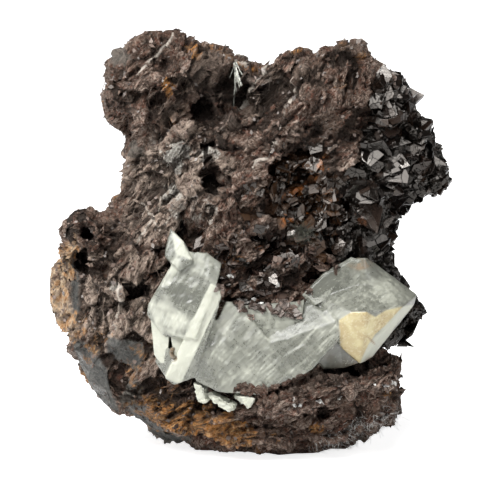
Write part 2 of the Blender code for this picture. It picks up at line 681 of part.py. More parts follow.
def crust():
    """Resinous crystals on a bowl-shaped crust."""
    chance = random.Random(7)
    u, v, y, across, up, deep, turn = HOLLOW
    limit = combined(
        pit(*HOLLOW, HOLLOW_SEED, grow=-GAP), box((-60, -60, 0), (60, HOLLOW_FRONT, 90)), "DIFFERENCE"
    )
    bowl = pit(u, v, y - CRUST, across, up, deep, turn, HOLLOW_SEED, grow=-GAP - CRUST)
    crystals = []
    for _ in range(CRUST_CRYSTALS):
        angle = chance.uniform(0, math.tau)
        reach = math.sqrt(chance.uniform(0.02, 0.85))
        du = across * reach * math.cos(angle)
        dv = up * reach * math.sin(angle)
        dy = deep * math.sqrt(1 - reach**2)
        way = Euler([chance.uniform(0, math.tau) for _ in range(3)]).to_matrix()
        size = (chance.uniform(4.0, 6.0), chance.uniform(2.6, 4.0), chance.uniform(0.8, 1.4))
        crystals.append(blade(at(u + du * 0.72, v + dv * 0.72, y + dy * 0.55), size, way))
    shell = combined(limit.copy(), bowl, "DIFFERENCE")
    for crystal in crystals:
        shell = combined(shell, crystal, "UNION")
    return combined(shell, limit, "INTERSECT")


def blade_crystals(mesh):
    """Blades standing on the outer side of the mesh, in leaning groups."""
    edge = np.array(BLADES_EDGE)
    chance = random.Random(23)
    faces = [f for f in mesh.polygons if f.center.y < 0.008 and f.area > 1e-7]
    weights = [f.area for f in faces]
    crystals = []
    for face in chance.choices(faces, weights, k=BLADE_COUNT):
        u, y, z = face.center / MM
        v = z * math.cos(SIGHT_TILT) + y * math.sin(SIGHT_TILT)
        if outline_distance(np.array([[u, v]]), edge)[0] < BLADE_MARGIN:
            continue
        place = face.center / MM * 0.09
        swirl = noise.noise(place) * 150
        lean = math.radians(chance.gauss(38, 16))
        swing = math.radians(swirl + chance.gauss(0, 20))
        way = face.normal.to_track_quat("Z", "Y").to_matrix() @ Euler((lean, 0, swing)).to_matrix()
        size = [side * chance.uniform(0.75, 1.4) for side in BLADE_SIZE]
        crystals.append(blade(face.center + face.normal * BLADE_RISE * MM, size, way))
    return crystals


def finished(mesh, name):
    """The named object with its own material."""
    mesh = parted(largest_piece(triangulated(mesh)))
    mesh.transform(Matrix.Translation(Vector((-MIDDLE[0], -MIDDLE[1], 0)) * MM))
    mesh.name = name
    mesh.materials.clear()
    colour, rough, metal = COLOURS[name.rstrip("_0123456789")]
    paint = bpy.data.materials.new(name)
    paint.use_nodes = True
    shader = paint.node_tree.nodes["Principled BSDF"]
    shader.inputs["Base Color"].default_value = (*colour, 1)
    shader.inputs["Roughness"].default_value = rough
    shader.inputs["Metallic"].default_value = metal
    mesh.materials.append(paint)
    return object_of(mesh, name)


def main():
    clear_scene()
    whole = body()
    calcite_room = merged(calcite(GAP), "calcite room")
    sockets = merged([calcite_room.copy()] + chip_solids(GAP), "sockets")
    hollow = pit(*HOLLOW, HOLLOW_SEED)

    rock = combined(whole.copy(), blades_region(-60, BLADES_BACK, GAP), "DIFFERENCE", "MANIFOLD")
    for room in (
        hollow,
        spray_room(SPRAY_ROOT, SPRAY_TIPS, SPRAY_LUMP, 60),
        spray_room(FELT_ROOT, FELT_TIPS, FELT_LUMP, 61),
        sockets.copy(),
    ):
        rock = combined(rock, room, "DIFFERENCE", "MANIFOLD")
    finished(rock, "host_rock")

    region = blades_region(-60, BLADES_BACK)
    blades = combined(whole, region.copy(), "INTERSECT", "MANIFOLD")
    for crystal in blade_crystals(blades):
        blades = combined(blades, crystal, "UNION", "MANIFOLD")
    blades = combined(blades, region, "INTERSECT", "MANIFOLD")
    blades = combined(blades, sockets, "DIFFERENCE", "MANIFOLD")
    finished(blades, "siderite_blades")

    finished(crust(), "siderite_crust")
    finished(merged(calcite(), "calcite"), "calcite_rhombs")
    for i, chip in enumerate(chip_solids(), 1):
        finished(combined(chip, calcite_room.copy(), "DIFFERENCE"), f"calcite_chip_{i}")
    finished(tuft(SPRAY_ROOT, SPRAY_TIPS, SPRAY_LUMP, 60), "zinkenite_spray")
    finished(tuft(FELT_ROOT, FELT_TIPS, FELT_LUMP, 61), "zinkenite_felt")


main()
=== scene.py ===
"""The looks of the zinkenite specimen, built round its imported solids.

Sizes are in millimetres and the scene in metres. Places are (u, v, y): u to the right and v up as the side
with the crystals is seen from slightly above, and y the depth into the specimen.
"""

import math

import bpy
import numpy as np
from mathutils import Euler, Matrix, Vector, noise
from mathutils.bvhtree import BVHTree


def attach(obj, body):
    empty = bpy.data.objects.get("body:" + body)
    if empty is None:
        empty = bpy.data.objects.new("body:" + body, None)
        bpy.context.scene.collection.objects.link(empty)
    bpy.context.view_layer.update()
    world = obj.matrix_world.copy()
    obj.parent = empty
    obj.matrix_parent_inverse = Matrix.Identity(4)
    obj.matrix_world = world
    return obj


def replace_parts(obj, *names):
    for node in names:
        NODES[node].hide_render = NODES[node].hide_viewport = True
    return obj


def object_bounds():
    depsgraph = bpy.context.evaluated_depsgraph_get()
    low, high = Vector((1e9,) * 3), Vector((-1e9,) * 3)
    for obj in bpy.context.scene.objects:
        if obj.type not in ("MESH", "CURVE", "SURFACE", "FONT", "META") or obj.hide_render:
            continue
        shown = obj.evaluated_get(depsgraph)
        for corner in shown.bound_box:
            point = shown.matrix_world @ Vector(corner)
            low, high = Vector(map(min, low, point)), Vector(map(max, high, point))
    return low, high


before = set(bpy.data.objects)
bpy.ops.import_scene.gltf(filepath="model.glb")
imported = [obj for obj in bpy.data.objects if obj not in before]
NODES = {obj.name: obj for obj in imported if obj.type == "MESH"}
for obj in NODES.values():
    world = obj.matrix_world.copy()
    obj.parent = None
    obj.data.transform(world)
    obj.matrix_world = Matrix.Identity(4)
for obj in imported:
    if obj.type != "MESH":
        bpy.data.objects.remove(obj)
cad_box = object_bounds()
LOW, HIGH = (np.array(corner) for corner in cad_box)

MM = 0.001
SIGHT_TILT = math.radians(10)
PIXELS = 500  # the photograph's side
PIXEL = 1 / 6
GROUND_ROW = 449  # the row of the photograph in which the origin lies
MIDDLE = (0.35, 2.25)  # the u and y over which the origin lies
SEED = 11
LIFT = 0.02  # between the floor and the foot

# Which way the grain of the siderite runs in each part: the part's u and v, and the angle from the level.
GRAIN = (
    (-20, 64, 38), (-21, 56, 64), (-13, 66, 55), (-12, 57, 46), (-5, 63, 52), (-3, 54, 30), (-11, 48, 58),
    (-5, 46, 40), (-15, 40, 52), (-7, 38, 64), (2, 42, 34), (7, 65, 56), (5, 57, 46), (12, 60, 72),
    (14, 52, 32), (-27, 34, 20), (-22, 30, 66), (-30, 27, 84), (-24, 20, 76), (-17, 24, 58), (-20, 14, 50),
    (-23, 8, -40), (-14, 8, 24), (-4, 6, 6), (8, 9, 18), (20, 12, 34), (14, 3, 12), (22, 4, 48),
    (26, 50, -60), (28, 40, -40), (18, 32, -30), (4, 28, 30),
)

GRAIN_ROWS = np.array(GRAIN, dtype=float)

# Patches of colour on the rock, each (u, v, half length, half width, turn, strength).
PATCHES = {
    "rust": (
        (-9.4, 66.6, 1, 1.8, 20, 0.8), (-13.6, 60, 1, 1.8, 10, 0.9), (-31, 30.5, 2, 6, -10, 0.7),
        (-29.4, 20, 1.4, 4.6, -20, 0.6), (-26, 17.6, 2, 3, -30, 0.6), (-10.5, 5.4, 8, 3.2, -6, 1),
        (-2.5, 2.8, 6, 2, -4, 0.8), (-14, 9.5, 3, 3, 0, 0.6), (-19, 14.5, 2.2, 4, -50, 0.5),
        (7.6, 66.6, 1.2, 0.8, 0, 0.7), (15.6, 67.4, 1.6, 0.7, 5, 0.7), (15.6, 60, 1.6, 1.8, 10, 0.5),
        (18.6, 65.4, 1.2, 0.8, 30, 0.6), (23.2, 9, 1, 1, 0, 0.9), (10.8, 3.5, 1.3, 1, 0, 0.8),
        (-3.5, 31, 3, 2, 10, 0.5), (-12.8, 55.5, 1.2, 2.2, 20, 0.4), (-16, 8, 3, 4, 30, 0.5),
    ),
    "slate": (
        (-27.6, 9, 2.4, 6, -28, 0.8), (-20, 9, 2.4, 2, 20, 0.6), (-12.8, 2, 3.4, 1, -8, 0.8),
        (-22, 66, 2.4, 2.2, 40, 0.5), (-19.6, 58, 1.2, 3, 10, 0.4), (-24.2, 60.5, 1.2, 4, 0, 0.4),
        (-19, 50, 2, 1.6, 0, 0.5), (11.5, 54, 1.6, 4, -40, 0.35),
    ),
    "pale": (
        (-12.6, 48.8, 2.1, 2.8, -10, 1), (-6.6, 48.8, 2.2, 1.2, 20, 0.75), (-13.2, 42.6, 2.4, 1.8, 30, 0.7),
        (-8, 40.4, 3, 3, 20, 0.45), (-12, 40, 1.6, 3, 20, 0.5), (-16, 51.6, 1.6, 1.2, 40, 0.4),
        (-22.8, 27, 1.4, 0.8, 0, 0.7), (2.8, 60, 1, 3, -30, 0.4), (-4.4, 54, 2.2, 1.2, 40, 0.35),
        (12.6, 53, 2, 2.6, 30, 0.35), (3.4, 28.8, 1.3, 1.2, 20, 0.5),
    ),
    "tan": (
        (-13, 46, 9, 6.5, 20, 1), (-15, 40, 7, 4, 40, 0.8), (-23, 23, 7, 9, -20, 1),
        (-17, 17, 4, 6, 20, 0.8), (-12.4, 54, 3, 3, 30, 0.4), (-8, 63, 2.4, 5, -40, 0.5),
        (2.4, 59.2, 1.6, 4.6, -36, 0.95), (8, 62, 4, 3, 20, 0.4), (6, 40, 5, 1.4, 8, 0.4),
    ),
    # the dark patches are painted shade: near-black in the hollows and under the crystals, where shadow
    # falls; the surface there is also sunk 0.5 mm
    "dark": (
        (-12.8, 5.7, 1.7, 0.8, 0, 1), (4.6, 34.8, 4.2, 3.4, 20, 1), (4.4, 28.6, 4, 2.4, 10, 0.9),
        (11, 45, 6, 6, 10, 0.8), (16, 40, 5, 7, 10, 1), (17, 33, 5, 3.4, 10, 1),
        (5.4, 54.6, 2.2, 1.2, 30, 0.4), (-14, 56.4, 2.4, 2, 20, 0.3), (12, 12, 9, 1.8, 12, 0.6),
    ),
    "resin": (
        (7, 44.6, 3.4, 2.2, 30, 1), (6, 41.2, 3.4, 2.4, 10, 0.8), (12.5, 47.8, 1.2, 1.2, 0, 0.9),
        (6.2, 38, 1.2, 1.2, 0, 0.9), (12, 42, 3, 4, 20, 0.5), (17.8, 37.8, 1.8, 1.6, 0, 0.9),
        (9, 36.6, 4, 2.2, 10, 0.5), (-2, 31, 3.4, 1.6, -10, 0.6),
    ),
}
# Holes, sunk into the rock and painted near-black as painted shade.
# Outlines (u, v) on the side with the crystals.
HOLES = (
    ((-9.5, 57.2), (-8.3, 57.8), (-6, 57.9), (-6.2, 56.2), (-7.6, 54.6), (-9.4, 55.3)),
    ((-3, 57.9), (-1.8, 59.8), (0, 61), (0.9, 60.4), (-0.3, 58.2), (-1.8, 57)),
    ((-7.2, 45), (-6.4, 45.6), (-5.8, 44.8), (-4.9, 44.2), (-5.4, 42.8), (-6.4, 42.3), (-7.2, 43.5)),
    ((-28.8, 32.6), (-27.7, 33.4), (-26.8, 31.8), (-27.3, 29.8), (-28.5, 29.3)),
    ((-29, 37), (-27.7, 37.8), (-26.3, 36.8), (-26.6, 35.4), (-28.3, 35)),
    ((-21.3, 28.2), (-18.6, 27.4), (-16.7, 27), (-17.4, 25.4), (-20.6, 25.6)),
    ((-7.1, 50.9), (-6.4, 51.3), (-6, 50.5), (-6.8, 50.2)),
)
# The outline on the same side, where the broken surface would pass it.
TOP = (  # u and the v there
    (-22, 67), (-17, 69.6), (-12, 69.8), (-8, 68), (-4, 67), (2.5, 63.6), (7.5, 67.4), (11, 66.4),
    (13.5, 67.8), (19, 68.6), (20, 65.5), (25, 62.4),
)
NECK = ((48, -22.3), (50.7, -20.8), (52.6, -20.8), (54.5, -23.7), (58.2, -24.9))  # v and the least u there
BLADES_EDGE = (  # v and the greatest u there
    (17, 24), (19, 27), (23.5, 29.2), (30.5, 24.4), (34, 23.7), (38, 24.7), (41, 26.5), (43.7, 33),
    (46, 33.2), (53.5, 31), (55, 28.5), (62, 25), (65, 20),
)
# A recess, sunk a little and painted a darker, flatter grey-brown as painted shade.
RECESS = (((-3, 63.4), (1.8, 62.4), (0, 60.6), (-2.3, 57.8), (-6, 57.8), (-8.3, 57.5), (-6, 60.6)),)
PLATES = (  # smooth slabs
    ((-7.2, 67.2), (-3, 66.2), (-1.7, 64.5), (-3, 63.5), (-6, 60.8), (-8.8, 57.5), (-10, 58.8), (-9.7, 61.8),
     (-8.7, 64.8)),
    ((2.5, 63), (5, 62.3), (4.2, 59), (2, 56.8), (-0.8, 55.7), (-2, 56.2), (0, 59)),
    ((-4.2, 56.6), (-1.6, 56.2), (-2.2, 52.4), (-4.6, 51.6), (-5.8, 54)),
    ((14.6, 69.4), (20.2, 70.4), (19.6, 66.4), (16.8, 64.4), (13.6, 66.6)),
)
BEHIND = (  # patches on the side away from the crystals: kind, size, seed, strength, from, to and where
    ("slate", 9, 4, 1.0, -0.15, 0.15, "low"),
    ("rust", 7, 6, 0.9, 0.12, 0.35, "all"),
    ("pale", 6, 8, 0.6, 0.3, 0.5, "all"),
)
ONE = Vector((1, 1, 1))
STONE_VOXEL = 0.26
BACK_VOXEL = 0.4
BLADES_VOXEL = 0.36
CALCITE_VOXEL = 0.27
CRUST_VOXEL = 0.28
CHIP_VOXEL = 0.14
FRONT_END = 3.4  # the depths, from the middle, between which the rock's front and back overlap
BACK_START = 2.6
HIGH_START = 34.4  # the height at which the rock's front is parted
TRIM = 0.88  # how much of what is past an outline is taken back
FIT_STEPS = 2
CRACK = 0.05  # the width of the cracks between a crystal's tiles
TILE_LEAN = 0.05  # how much one tile leans from another
BOW = 0.08  # how much a crystal's face is bowed
FAR = 9  # stands for far inside an outline
MARGIN = 1e-5  # how far inside the solids' box the points are kept, in metres
AIM = Vector((0, 0, 0.034))  # what the lights face, in metres
STRAND_STEPS = 5
ALIKE = (-0.14, -0.82, 0.55)  # the way that many of the blades face


# Places


def at(u, v, y):
    z = (v - y * math.sin(SIGHT_TILT)) / math.cos(SIGHT_TILT)
    return Vector((u - MIDDLE[0], y - MIDDLE[1], z)) * MM


def seen(points):
    """The u, v and y of each point."""
    x, y, z = (points / MM).T
    y = y + MIDDLE[1]
    return np.stack((x + MIDDLE[0], z * math.cos(SIGHT_TILT) + y * math.sin(SIGHT_TILT), y), axis=1)


def step(value, low, high):
    """0 at low and under, 1 at high and over, and smooth between them."""
    share = np.clip((value - low) / (high - low), 0, 1)
    return share * share * (3 - 2 * share)


def patch_away(places, u, v, long, wide, turn):
    """How far each place is from a patch's middle, squared, as a share of its half length and half width."""
    turn = math.radians(turn)
    du, dv = places[:, 0] - u, places[:, 1] - v
    along = (du * math.cos(turn) + dv * math.sin(turn)) / long
    across = (dv * math.cos(turn) - du * math.sin(turn)) / wide
    return along**2 + across**2


def patch_mask(patches, places, wobble=0):
    """How much each place lies in the patches, on the side with the crystals."""
    result = np.zeros(len(places))
    for *patch, strength in patches:
        away = np.sqrt(patch_away(places, *patch)) + wobble
        result = np.maximum(result, strength * step(-away, -1.35, -0.65))
    return result * step(-places[:, 2], -6, -1)


def grain_part(points):
    """Which part of GRAIN each point is in, and how near it is to the next part, in millimetres."""
    bent = seen(points)[:, :2]
    bent = bent + 1.8 * np.stack((waves(points / MM, 4.5, 51), waves(points / MM, 4.5, 52)), axis=1)
    away = np.linalg.norm(bent[:, None] - GRAIN_ROWS[None, :, :2], axis=2)
    two = np.partition(away, 1, axis=1)
    return away.argmin(axis=1), two[:, 1] - two[:, 0]


def grain_angle(points):
    """The grain's angle at each point, in radians."""
    return np.radians(GRAIN_ROWS[grain_part(points)[0], 2])


def grain_frame(points, part):
    """Coordinates in millimetres along the grain, across it and inward, each part having its own."""
    u, v, angle = GRAIN_ROWS[part].T
    angle = np.radians(angle)
    x, y, z = (points / MM).T
    x, z = x - u, z - v
    return np.stack((x * np.cos(angle) + z * np.sin(angle), z * np.cos(angle) - x * np.sin(angle), y), axis=1)


# Meshes


def linked(name, data):
    """A new object in the scene."""
    item = bpy.data.objects.new(name, data)
    bpy.context.scene.collection.objects.link(item)
    return item


def settled(item):
    graph = bpy.context.evaluated_depsgraph_get()
    mesh = bpy.data.meshes.new_from_object(item.evaluated_get(graph))
    bpy.data.objects.remove(item, do_unlink=True)
    return mesh


def fine_copy(node, voxel, smooth):
    """The node's mesh in small even faces, its edges softened."""
    item = linked("fine", NODES[node].data.copy())
    remesh = item.modifiers.new("fine", "REMESH")
    remesh.mode = "VOXEL"
    remesh.voxel_size = voxel * MM
    if smooth:
        soften = item.modifiers.new("soften", "SMOOTH")
        soften.factor = 0.5
        soften.iterations = smooth
    mesh = settled(item)
    mesh.materials.clear()
    return mesh


def read(items, name, width=1, kind=float):
    """The values of that name that a mesh's items have, a row for each."""
    flat = np.zeros(len(items) * width, dtype=kind)
    items.foreach_get(name, flat)
    return flat.reshape(-1, width) if width > 1 else flat


def points_of(mesh):
    return read(mesh.vertices, "co", 3)


def normals_of(mesh):
    return read(mesh.vertex_normals, "vector", 3)


def corners_of(mesh):
    """The points at the corners of each four-cornered face."""
    return read(mesh.loops, "vertex_index", kind=np.int32).reshape(-1, 4)


def tree_of(mesh):
    return BVHTree.FromPolygons(points_of(mesh).tolist(), corners_of(mesh).tolist())


def set_points(mesh, points):
    mesh.vertices.foreach_set("co", np.ascontiguousarray(points, dtype=np.float32).ravel())
    mesh.update()


def set_values(mesh, **values):
    """Gives each point a number for each name."""
    for name, value in values.items():
        layer = mesh.attributes.new(name, "FLOAT", "POINT")
        layer.data.foreach_set("value", np.full(len(mesh.vertices), value, dtype=np.float32))


def set_vector(mesh, name, values):
    layer = mesh.attributes.new(name, "FLOAT_VECTOR", "POINT")
    layer.data.foreach_set("vector", np.asarray(values, dtype=np.float32).ravel())


def mesh_of(name, points, faces):
    """A mesh from arrays of points and of faces with as many corners each."""
    count, corners = faces.shape
    mesh = bpy.data.meshes.new(name)
    mesh.vertices.add(len(points))
    mesh.vertices.foreach_set("co", np.ascontiguousarray(points, dtype=np.float32).ravel())
    mesh.loops.add(count * corners)
    mesh.loops.foreach_set("vertex_index", np.ascontiguousarray(faces, dtype=np.int32).ravel())
    mesh.polygons.add(count)
    mesh.polygons.foreach_set("loop_start", np.arange(0, count * corners, corners, dtype=np.int32))
    mesh.update(calc_edges=True)
    return mesh


def piece(name, mesh, paint, slot, smooth=False):
    """The finished piece, riding on the specimen."""
    mesh.name = name
    mesh.materials.clear()
    mesh.materials.append(paint)
    if smooth:
        mesh.shade_smooth()
    else:
        mesh.shade_flat()
    item = linked(name, mesh)
    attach(item, "root")
    return item


def kept_in(points):
    """The points moved inside the solids' box."""
    return np.clip(points, LOW + MARGIN, HIGH - MARGIN)


def moved_in(groups):
    """Each group of points moved as a whole until it is inside the solids' box."""
    over = np.maximum(groups.max(axis=1) - HIGH, 0)
    under = np.maximum(LOW - groups.min(axis=1), 0)
    return groups + (under - over)[:, None, :]


def trimmed(points):
    """The rock's points that are outside the outline, brought nearly onto it."""
    u, v, _ = seen(points).T
    over = np.maximum(v - np.interp(u, *zip(*TOP)), 0) * ((u > TOP[0][0]) & (u < TOP[-1][0]))
    under = np.maximum(np.interp(v, *zip(*NECK)) - u, 0) * ((v > NECK[0][0]) & (v < NECK[-1][0]))
    return points + TRIM * MM * np.stack((under, u * 0, -over), axis=1)


def edge_room(places):
    """How far the places are inside the edge of the dark blades, in millimetres."""
    u, v, _ = places.T
    within = (v > BLADES_EDGE[0][0]) & (v < BLADES_EDGE[-1][0])
    return np.where(within, np.interp(v, *zip(*BLADES_EDGE)) - u, FAR)


def with_room(points, heights):
    """The heights, those that would reach the solids' box made lower, in millimetres."""
    room = np.maximum(np.minimum(points - LOW, HIGH - points).min(axis=1) / MM, 0.02)
    return np.where(heights > 0, room * np.tanh(np.maximum(heights, 0) / room), heights)


def raised(points, normals, heights, share=1):
    """The points moved out by that share of the heights, as far as the solids' box lets them."""
    return points + normals * (with_room(points, heights) * share * MM)[:, None]


def facets(points, size, tilt, lift, seed, bias=(0, 0, 0)):
    """Heights of a surface broken into flat facets of that size, each with its own lean and height."""
    heights = np.zeros(len(points))
    gap = np.zeros(len(points))
    shift = Vector((seed * 7.3, seed * 3.1, seed * 5.7))
    scaled = points / np.array(size)
    lean = tilt * np.array(size).mean()
    bias = Vector(bias) - ONE
    for i, place in enumerate(scaled.tolist()):
        place = Vector(place) + shift
        away, centres = noise.voronoi(place)
        chance = noise.cell_vector(centres[0] * 17.13) * 2 + bias
        heights[i] = lean * (place - centres[0]).dot(chance) + lift * noise.cell(centres[0] * 9.71 + shift)
        gap[i] = away[1] - away[0]
    return heights, gap


def waves(points, size, seed):
    """Smooth chance heights between -1 and 1."""
    shift = Vector((seed * 5.1, seed * 9.7, seed * 2.3))
    scaled = (points / size).tolist()
    return np.array([noise.noise(Vector(place) + shift) for place in scaled])


def surface_of(mesh):
    """The mesh's triangles: their corners, normals and areas."""
    mesh.calc_loop_triangles()
    corners = points_of(mesh)[read(mesh.loop_triangles, "vertices", 3, np.int32)]
    across = np.cross(corners[:, 1] - corners[:, 0], corners[:, 2] - corners[:, 0])
    size = np.linalg.norm(across, axis=1)
    return corners, across / np.maximum(size, 1e-15)[:, None], size / 2


def scattered(mesh, count, chance, density):
    """Chance points on the mesh, thick where density says so, with the normals there."""
    corners, normals, areas = surface_of(mesh)
    weight = areas * density(seen(corners.mean(axis=1)), normals)
    picked = chance.choice(len(areas), count, p=weight / weight.sum())
    a, b = chance.random((2, count))
    fold = a + b > 1
    a, b = np.where(fold, 1 - a, a), np.where(fold, 1 - b, b)
    triangle = corners[picked]
    points = triangle[:, 0] + a[:, None] * (triangle[:, 1] - triangle[:, 0])
    points += b[:, None] * (triangle[:, 2] - triangle[:, 0])
    return points, normals[picked]


def unit(vectors):
    return vectors / np.maximum(np.linalg.norm(vectors, axis=-1, keepdims=True), 1e-12)


def turned(vectors, axes, angles):
    """Each vector turned round its axis."""
    cos, sin = np.cos(angles)[:, None], np.sin(angles)[:, None]
    along = (vectors * axes).sum(axis=1, keepdims=True) * axes
    return vectors * cos + np.cross(axes, vectors) * sin + along * (1 - cos)


def leaning(points, normals, chance, lean, spread, wander):
    """Axes for plates on a surface: long side along the grain, and leaning out of the surface, in radians."""
    angle = grain_angle(points)
    way = np.stack((np.cos(angle), np.zeros(len(angle)), np.sin(angle)), axis=1)
    way = unit(way - (way * normals).sum(axis=1, keepdims=True) * normals)
    way = turned(way, normals, chance.normal(0, wander, len(points)))
    facing = turned(normals, way, chance.normal(lean, spread, len(points)))
    return unit(np.stack((way, np.cross(facing, way), facing), axis=2))


def lens_form(sides):
    """A thin crystal with a sharp rim: points in its length, width and thickness, and triangles."""
    turn = np.arange(sides) * math.tau / sides
    rim = np.stack((np.cos(turn), np.sin(turn), turn * 0), axis=1)
    points = np.concatenate((rim, [(0, 0, 1), (0, 0, -1)]))
    faces = []
    for i in range(sides):
        j = (i + 1) % sides
        faces += [(i, j, sides), (j, i, sides + 1)]
    return points, np.array(faces)


def plate_form(sides):
    """A crystal with a flat face, narrowing to a point under it."""
    turn = np.arange(sides) * math.tau / sides
    rim = np.stack((np.cos(turn), np.sin(turn), turn * 0 + 1), axis=1)
    faces = [(0, i, i + 1) for i in range(1, sides - 1)]
    faces += [((i + 1) % sides, i, sides) for i in range(sides)]
    return np.concatenate((rim, [(0, 0, -1)])), np.array(faces)


def copies(name, form, centres, axes, sizes, chance, uneven):
    """Many crystals of one form in a single mesh, each with its own outline and chance value."""
    points, faces = form
    count = len(centres)
    change = 1 + chance.uniform(-uneven, uneven, (count, len(points), 1))
    shapes = np.repeat(points[None], count, axis=0)
    shapes[:, :, :2] *= change
    shapes = shapes * (sizes[:, None, :] / 2 * MM)
    placed = moved_in(np.einsum("nij,npj->npi", axes, shapes) + centres[:, None, :])
    starts = np.arange(count)[:, None, None] * len(points)
    mesh = mesh_of(name, kept_in(placed.reshape(-1, 3)), (faces[None] + starts).reshape(-1, 3))
    set_values(mesh, chance=np.repeat(chance.random(count), len(points)))
    return mesh


def ringed(sides):
    """The triangles of a crystal made of three rings of points, the first and the last of them closed."""
    faces = []
    for i in range(sides):
        j = (i + 1) % sides
        for ring in (0, sides):
            a, b = ring + i, ring + j
            faces += [(a, b + sides, b), (a, a + sides, b + sides)]
    for i in range(1, sides - 1):
        faces += [(0, i, i + 1), (2 * sides, 2 * sides + i + 1, 2 * sides + i)]
    return np.array(faces)


def cut(outline, middle, way):
    """The part of a convex outline that is not past the line through the middle, square to the way."""
    past = [(x - middle[0]) * way[0] + (y - middle[1]) * way[1] for x, y in outline]
    kept = []
    for i, (x, y) in enumerate(outline):
        j = (i + 1) % len(outline)
        if past[i] <= 0:
            kept.append((x, y))
        if (past[i] < 0) != (past[j] < 0):
            share = past[i] / (past[i] - past[j])
            kept.append((x + (outline[j][0] - x) * share, y + (outline[j][1] - y) * share))
    return kept


def mosaic(long, wide, cells, chance):
    """The tiles into which cracks split a rhombic face, as outlines in millimetres."""
    turn = np.radians(np.arange(4) * 90 + chance.normal(0, 9, 4))
    reach = chance.uniform(0.85, 1.1, 4) / 2
    outline = [(math.cos(a) * r * long, math.sin(a) * r * wide) for a, r in zip(turn, reach)]
    for a in chance.choice(4, 2, replace=False):
        way = (math.cos(turn[a]), math.sin(turn[a]))
        off = chance.uniform(0.6, 1.0) * (long if a % 2 == 0 else wide) / 2
        outline = cut(outline, (way[0] * off, way[1] * off), way)
    seeds = chance.uniform(-0.36, 0.36, (cells, 2)) * (long, wide)
    tiles = []
    for seed in seeds:
        tile = outline
        for other in seeds:
            way = other - seed
            size = math.hypot(*way)
            if size > 0:
                way = way / size
                tile = cut(tile, seed + way * (size - CRACK) / 2, way)
            if len(tile) < 3:
                break
        if len(tile) >= 3:
            tiles.append(tile)
    return tiles


def pushed_in(points, surface, reach):
    """The points moved as a whole until hardly any is more than reach out of the surface, in millimetres."""
    for _ in range(FIT_STEPS):
        out, way = 0, None
        for point in points[::3]:
            place, normal, _, _ = surface.find_nearest(point)
            height = (Vector(point) - place).dot(normal) / MM
            if height > out:
                out, way = height, normal
        if out <= reach:
            break
        points = points - np.array(way) * (out - reach) * MM
    return points


def shards(name, roots, frames, sizes, chance, cells, surface, reach):
    """Flat-faced crystals, each split by cracks into tiles that lean a little from one another."""
    points, faces, shades = [], [], []
    for root, frame_axes, (long, wide, thick) in zip(roots, frames, sizes):
        shade = chance.random()
        first = len(points)
        tops = []
        for tile in mosaic(long, wide, cells, chance):
            sides = len(tile)
            x0 = sum(x for x, _ in tile) / sides
            y0 = sum(y for _, y in tile) / sides
            slope = chance.normal(0, TILE_LEAN, 2) + BOW * np.array((x0, -y0))
            rise = chance.normal(0, 0.05)
            start = first + len(tops)
            for inset, drop in ((0.95, 0.0), (1.0, 0.05), (0.72, thick)):
                for x, y in tile:
                    dx, dy = (x - x0) * inset, (y - y0) * inset
                    tops.append((x0 + dx, y0 + dy, thick / 2 + rise + slope[0] * dx + slope[1] * dy - drop))
            faces.append(ringed(sides) + start)
            shades += [min(1.0, max(0.0, shade + chance.normal(0, 0.12)))] * (3 * sides)
        if tops:
            placed = np.array(tops) @ frame_axes.T * MM + root
            if surface:
                placed = pushed_in(placed, surface, reach)
            points.extend(moved_in(placed[None])[0])
    mesh = mesh_of(name, kept_in(np.array(points)), np.concatenate(faces))
    set_values(mesh, chance=shades)
    return mesh


def hairs(name, paths, widths, chance):
    """Thin fibres with three sides along paths of as many points each, ending in a point."""
    count, steps, _ = paths.shape
    way = unit(np.gradient(paths, axis=1))
    side = unit(np.cross(way, np.array((0.31, 0.83, 0.46))))
    other = np.cross(way, side)
    taper = np.linspace(1, 0.25, steps)[None, :, None] * widths[:, None, None] / 2 * MM
    rings = []
    for i in range(3):
        turn = i * math.tau / 3
        rings.append(paths + (side * math.cos(turn) + other * math.sin(turn)) * taper)
    points = np.stack(rings, axis=2)
    faces = []
    for i in range(steps - 1):
        for j in range(3):
            k = (j + 1) % 3
            faces += [(i * 3 + j, i * 3 + k, i * 3 + 3 + k), (i * 3 + j, i * 3 + 3 + k, i * 3 + 3 + j)]
    end = (steps - 1) * 3
    faces += [(2, 1, 0), (end, end + 1, end + 2)]
    starts = np.arange(count)[:, None, None] * steps * 3
    mesh = mesh_of(name, kept_in(points.reshape(-1, 3)), (np.array(faces)[None] + starts).reshape(-1, 3))
    set_values(mesh, chance=np.repeat(chance.uniform(0.7, 1.0, count), steps * 3))
    return mesh


# Paints


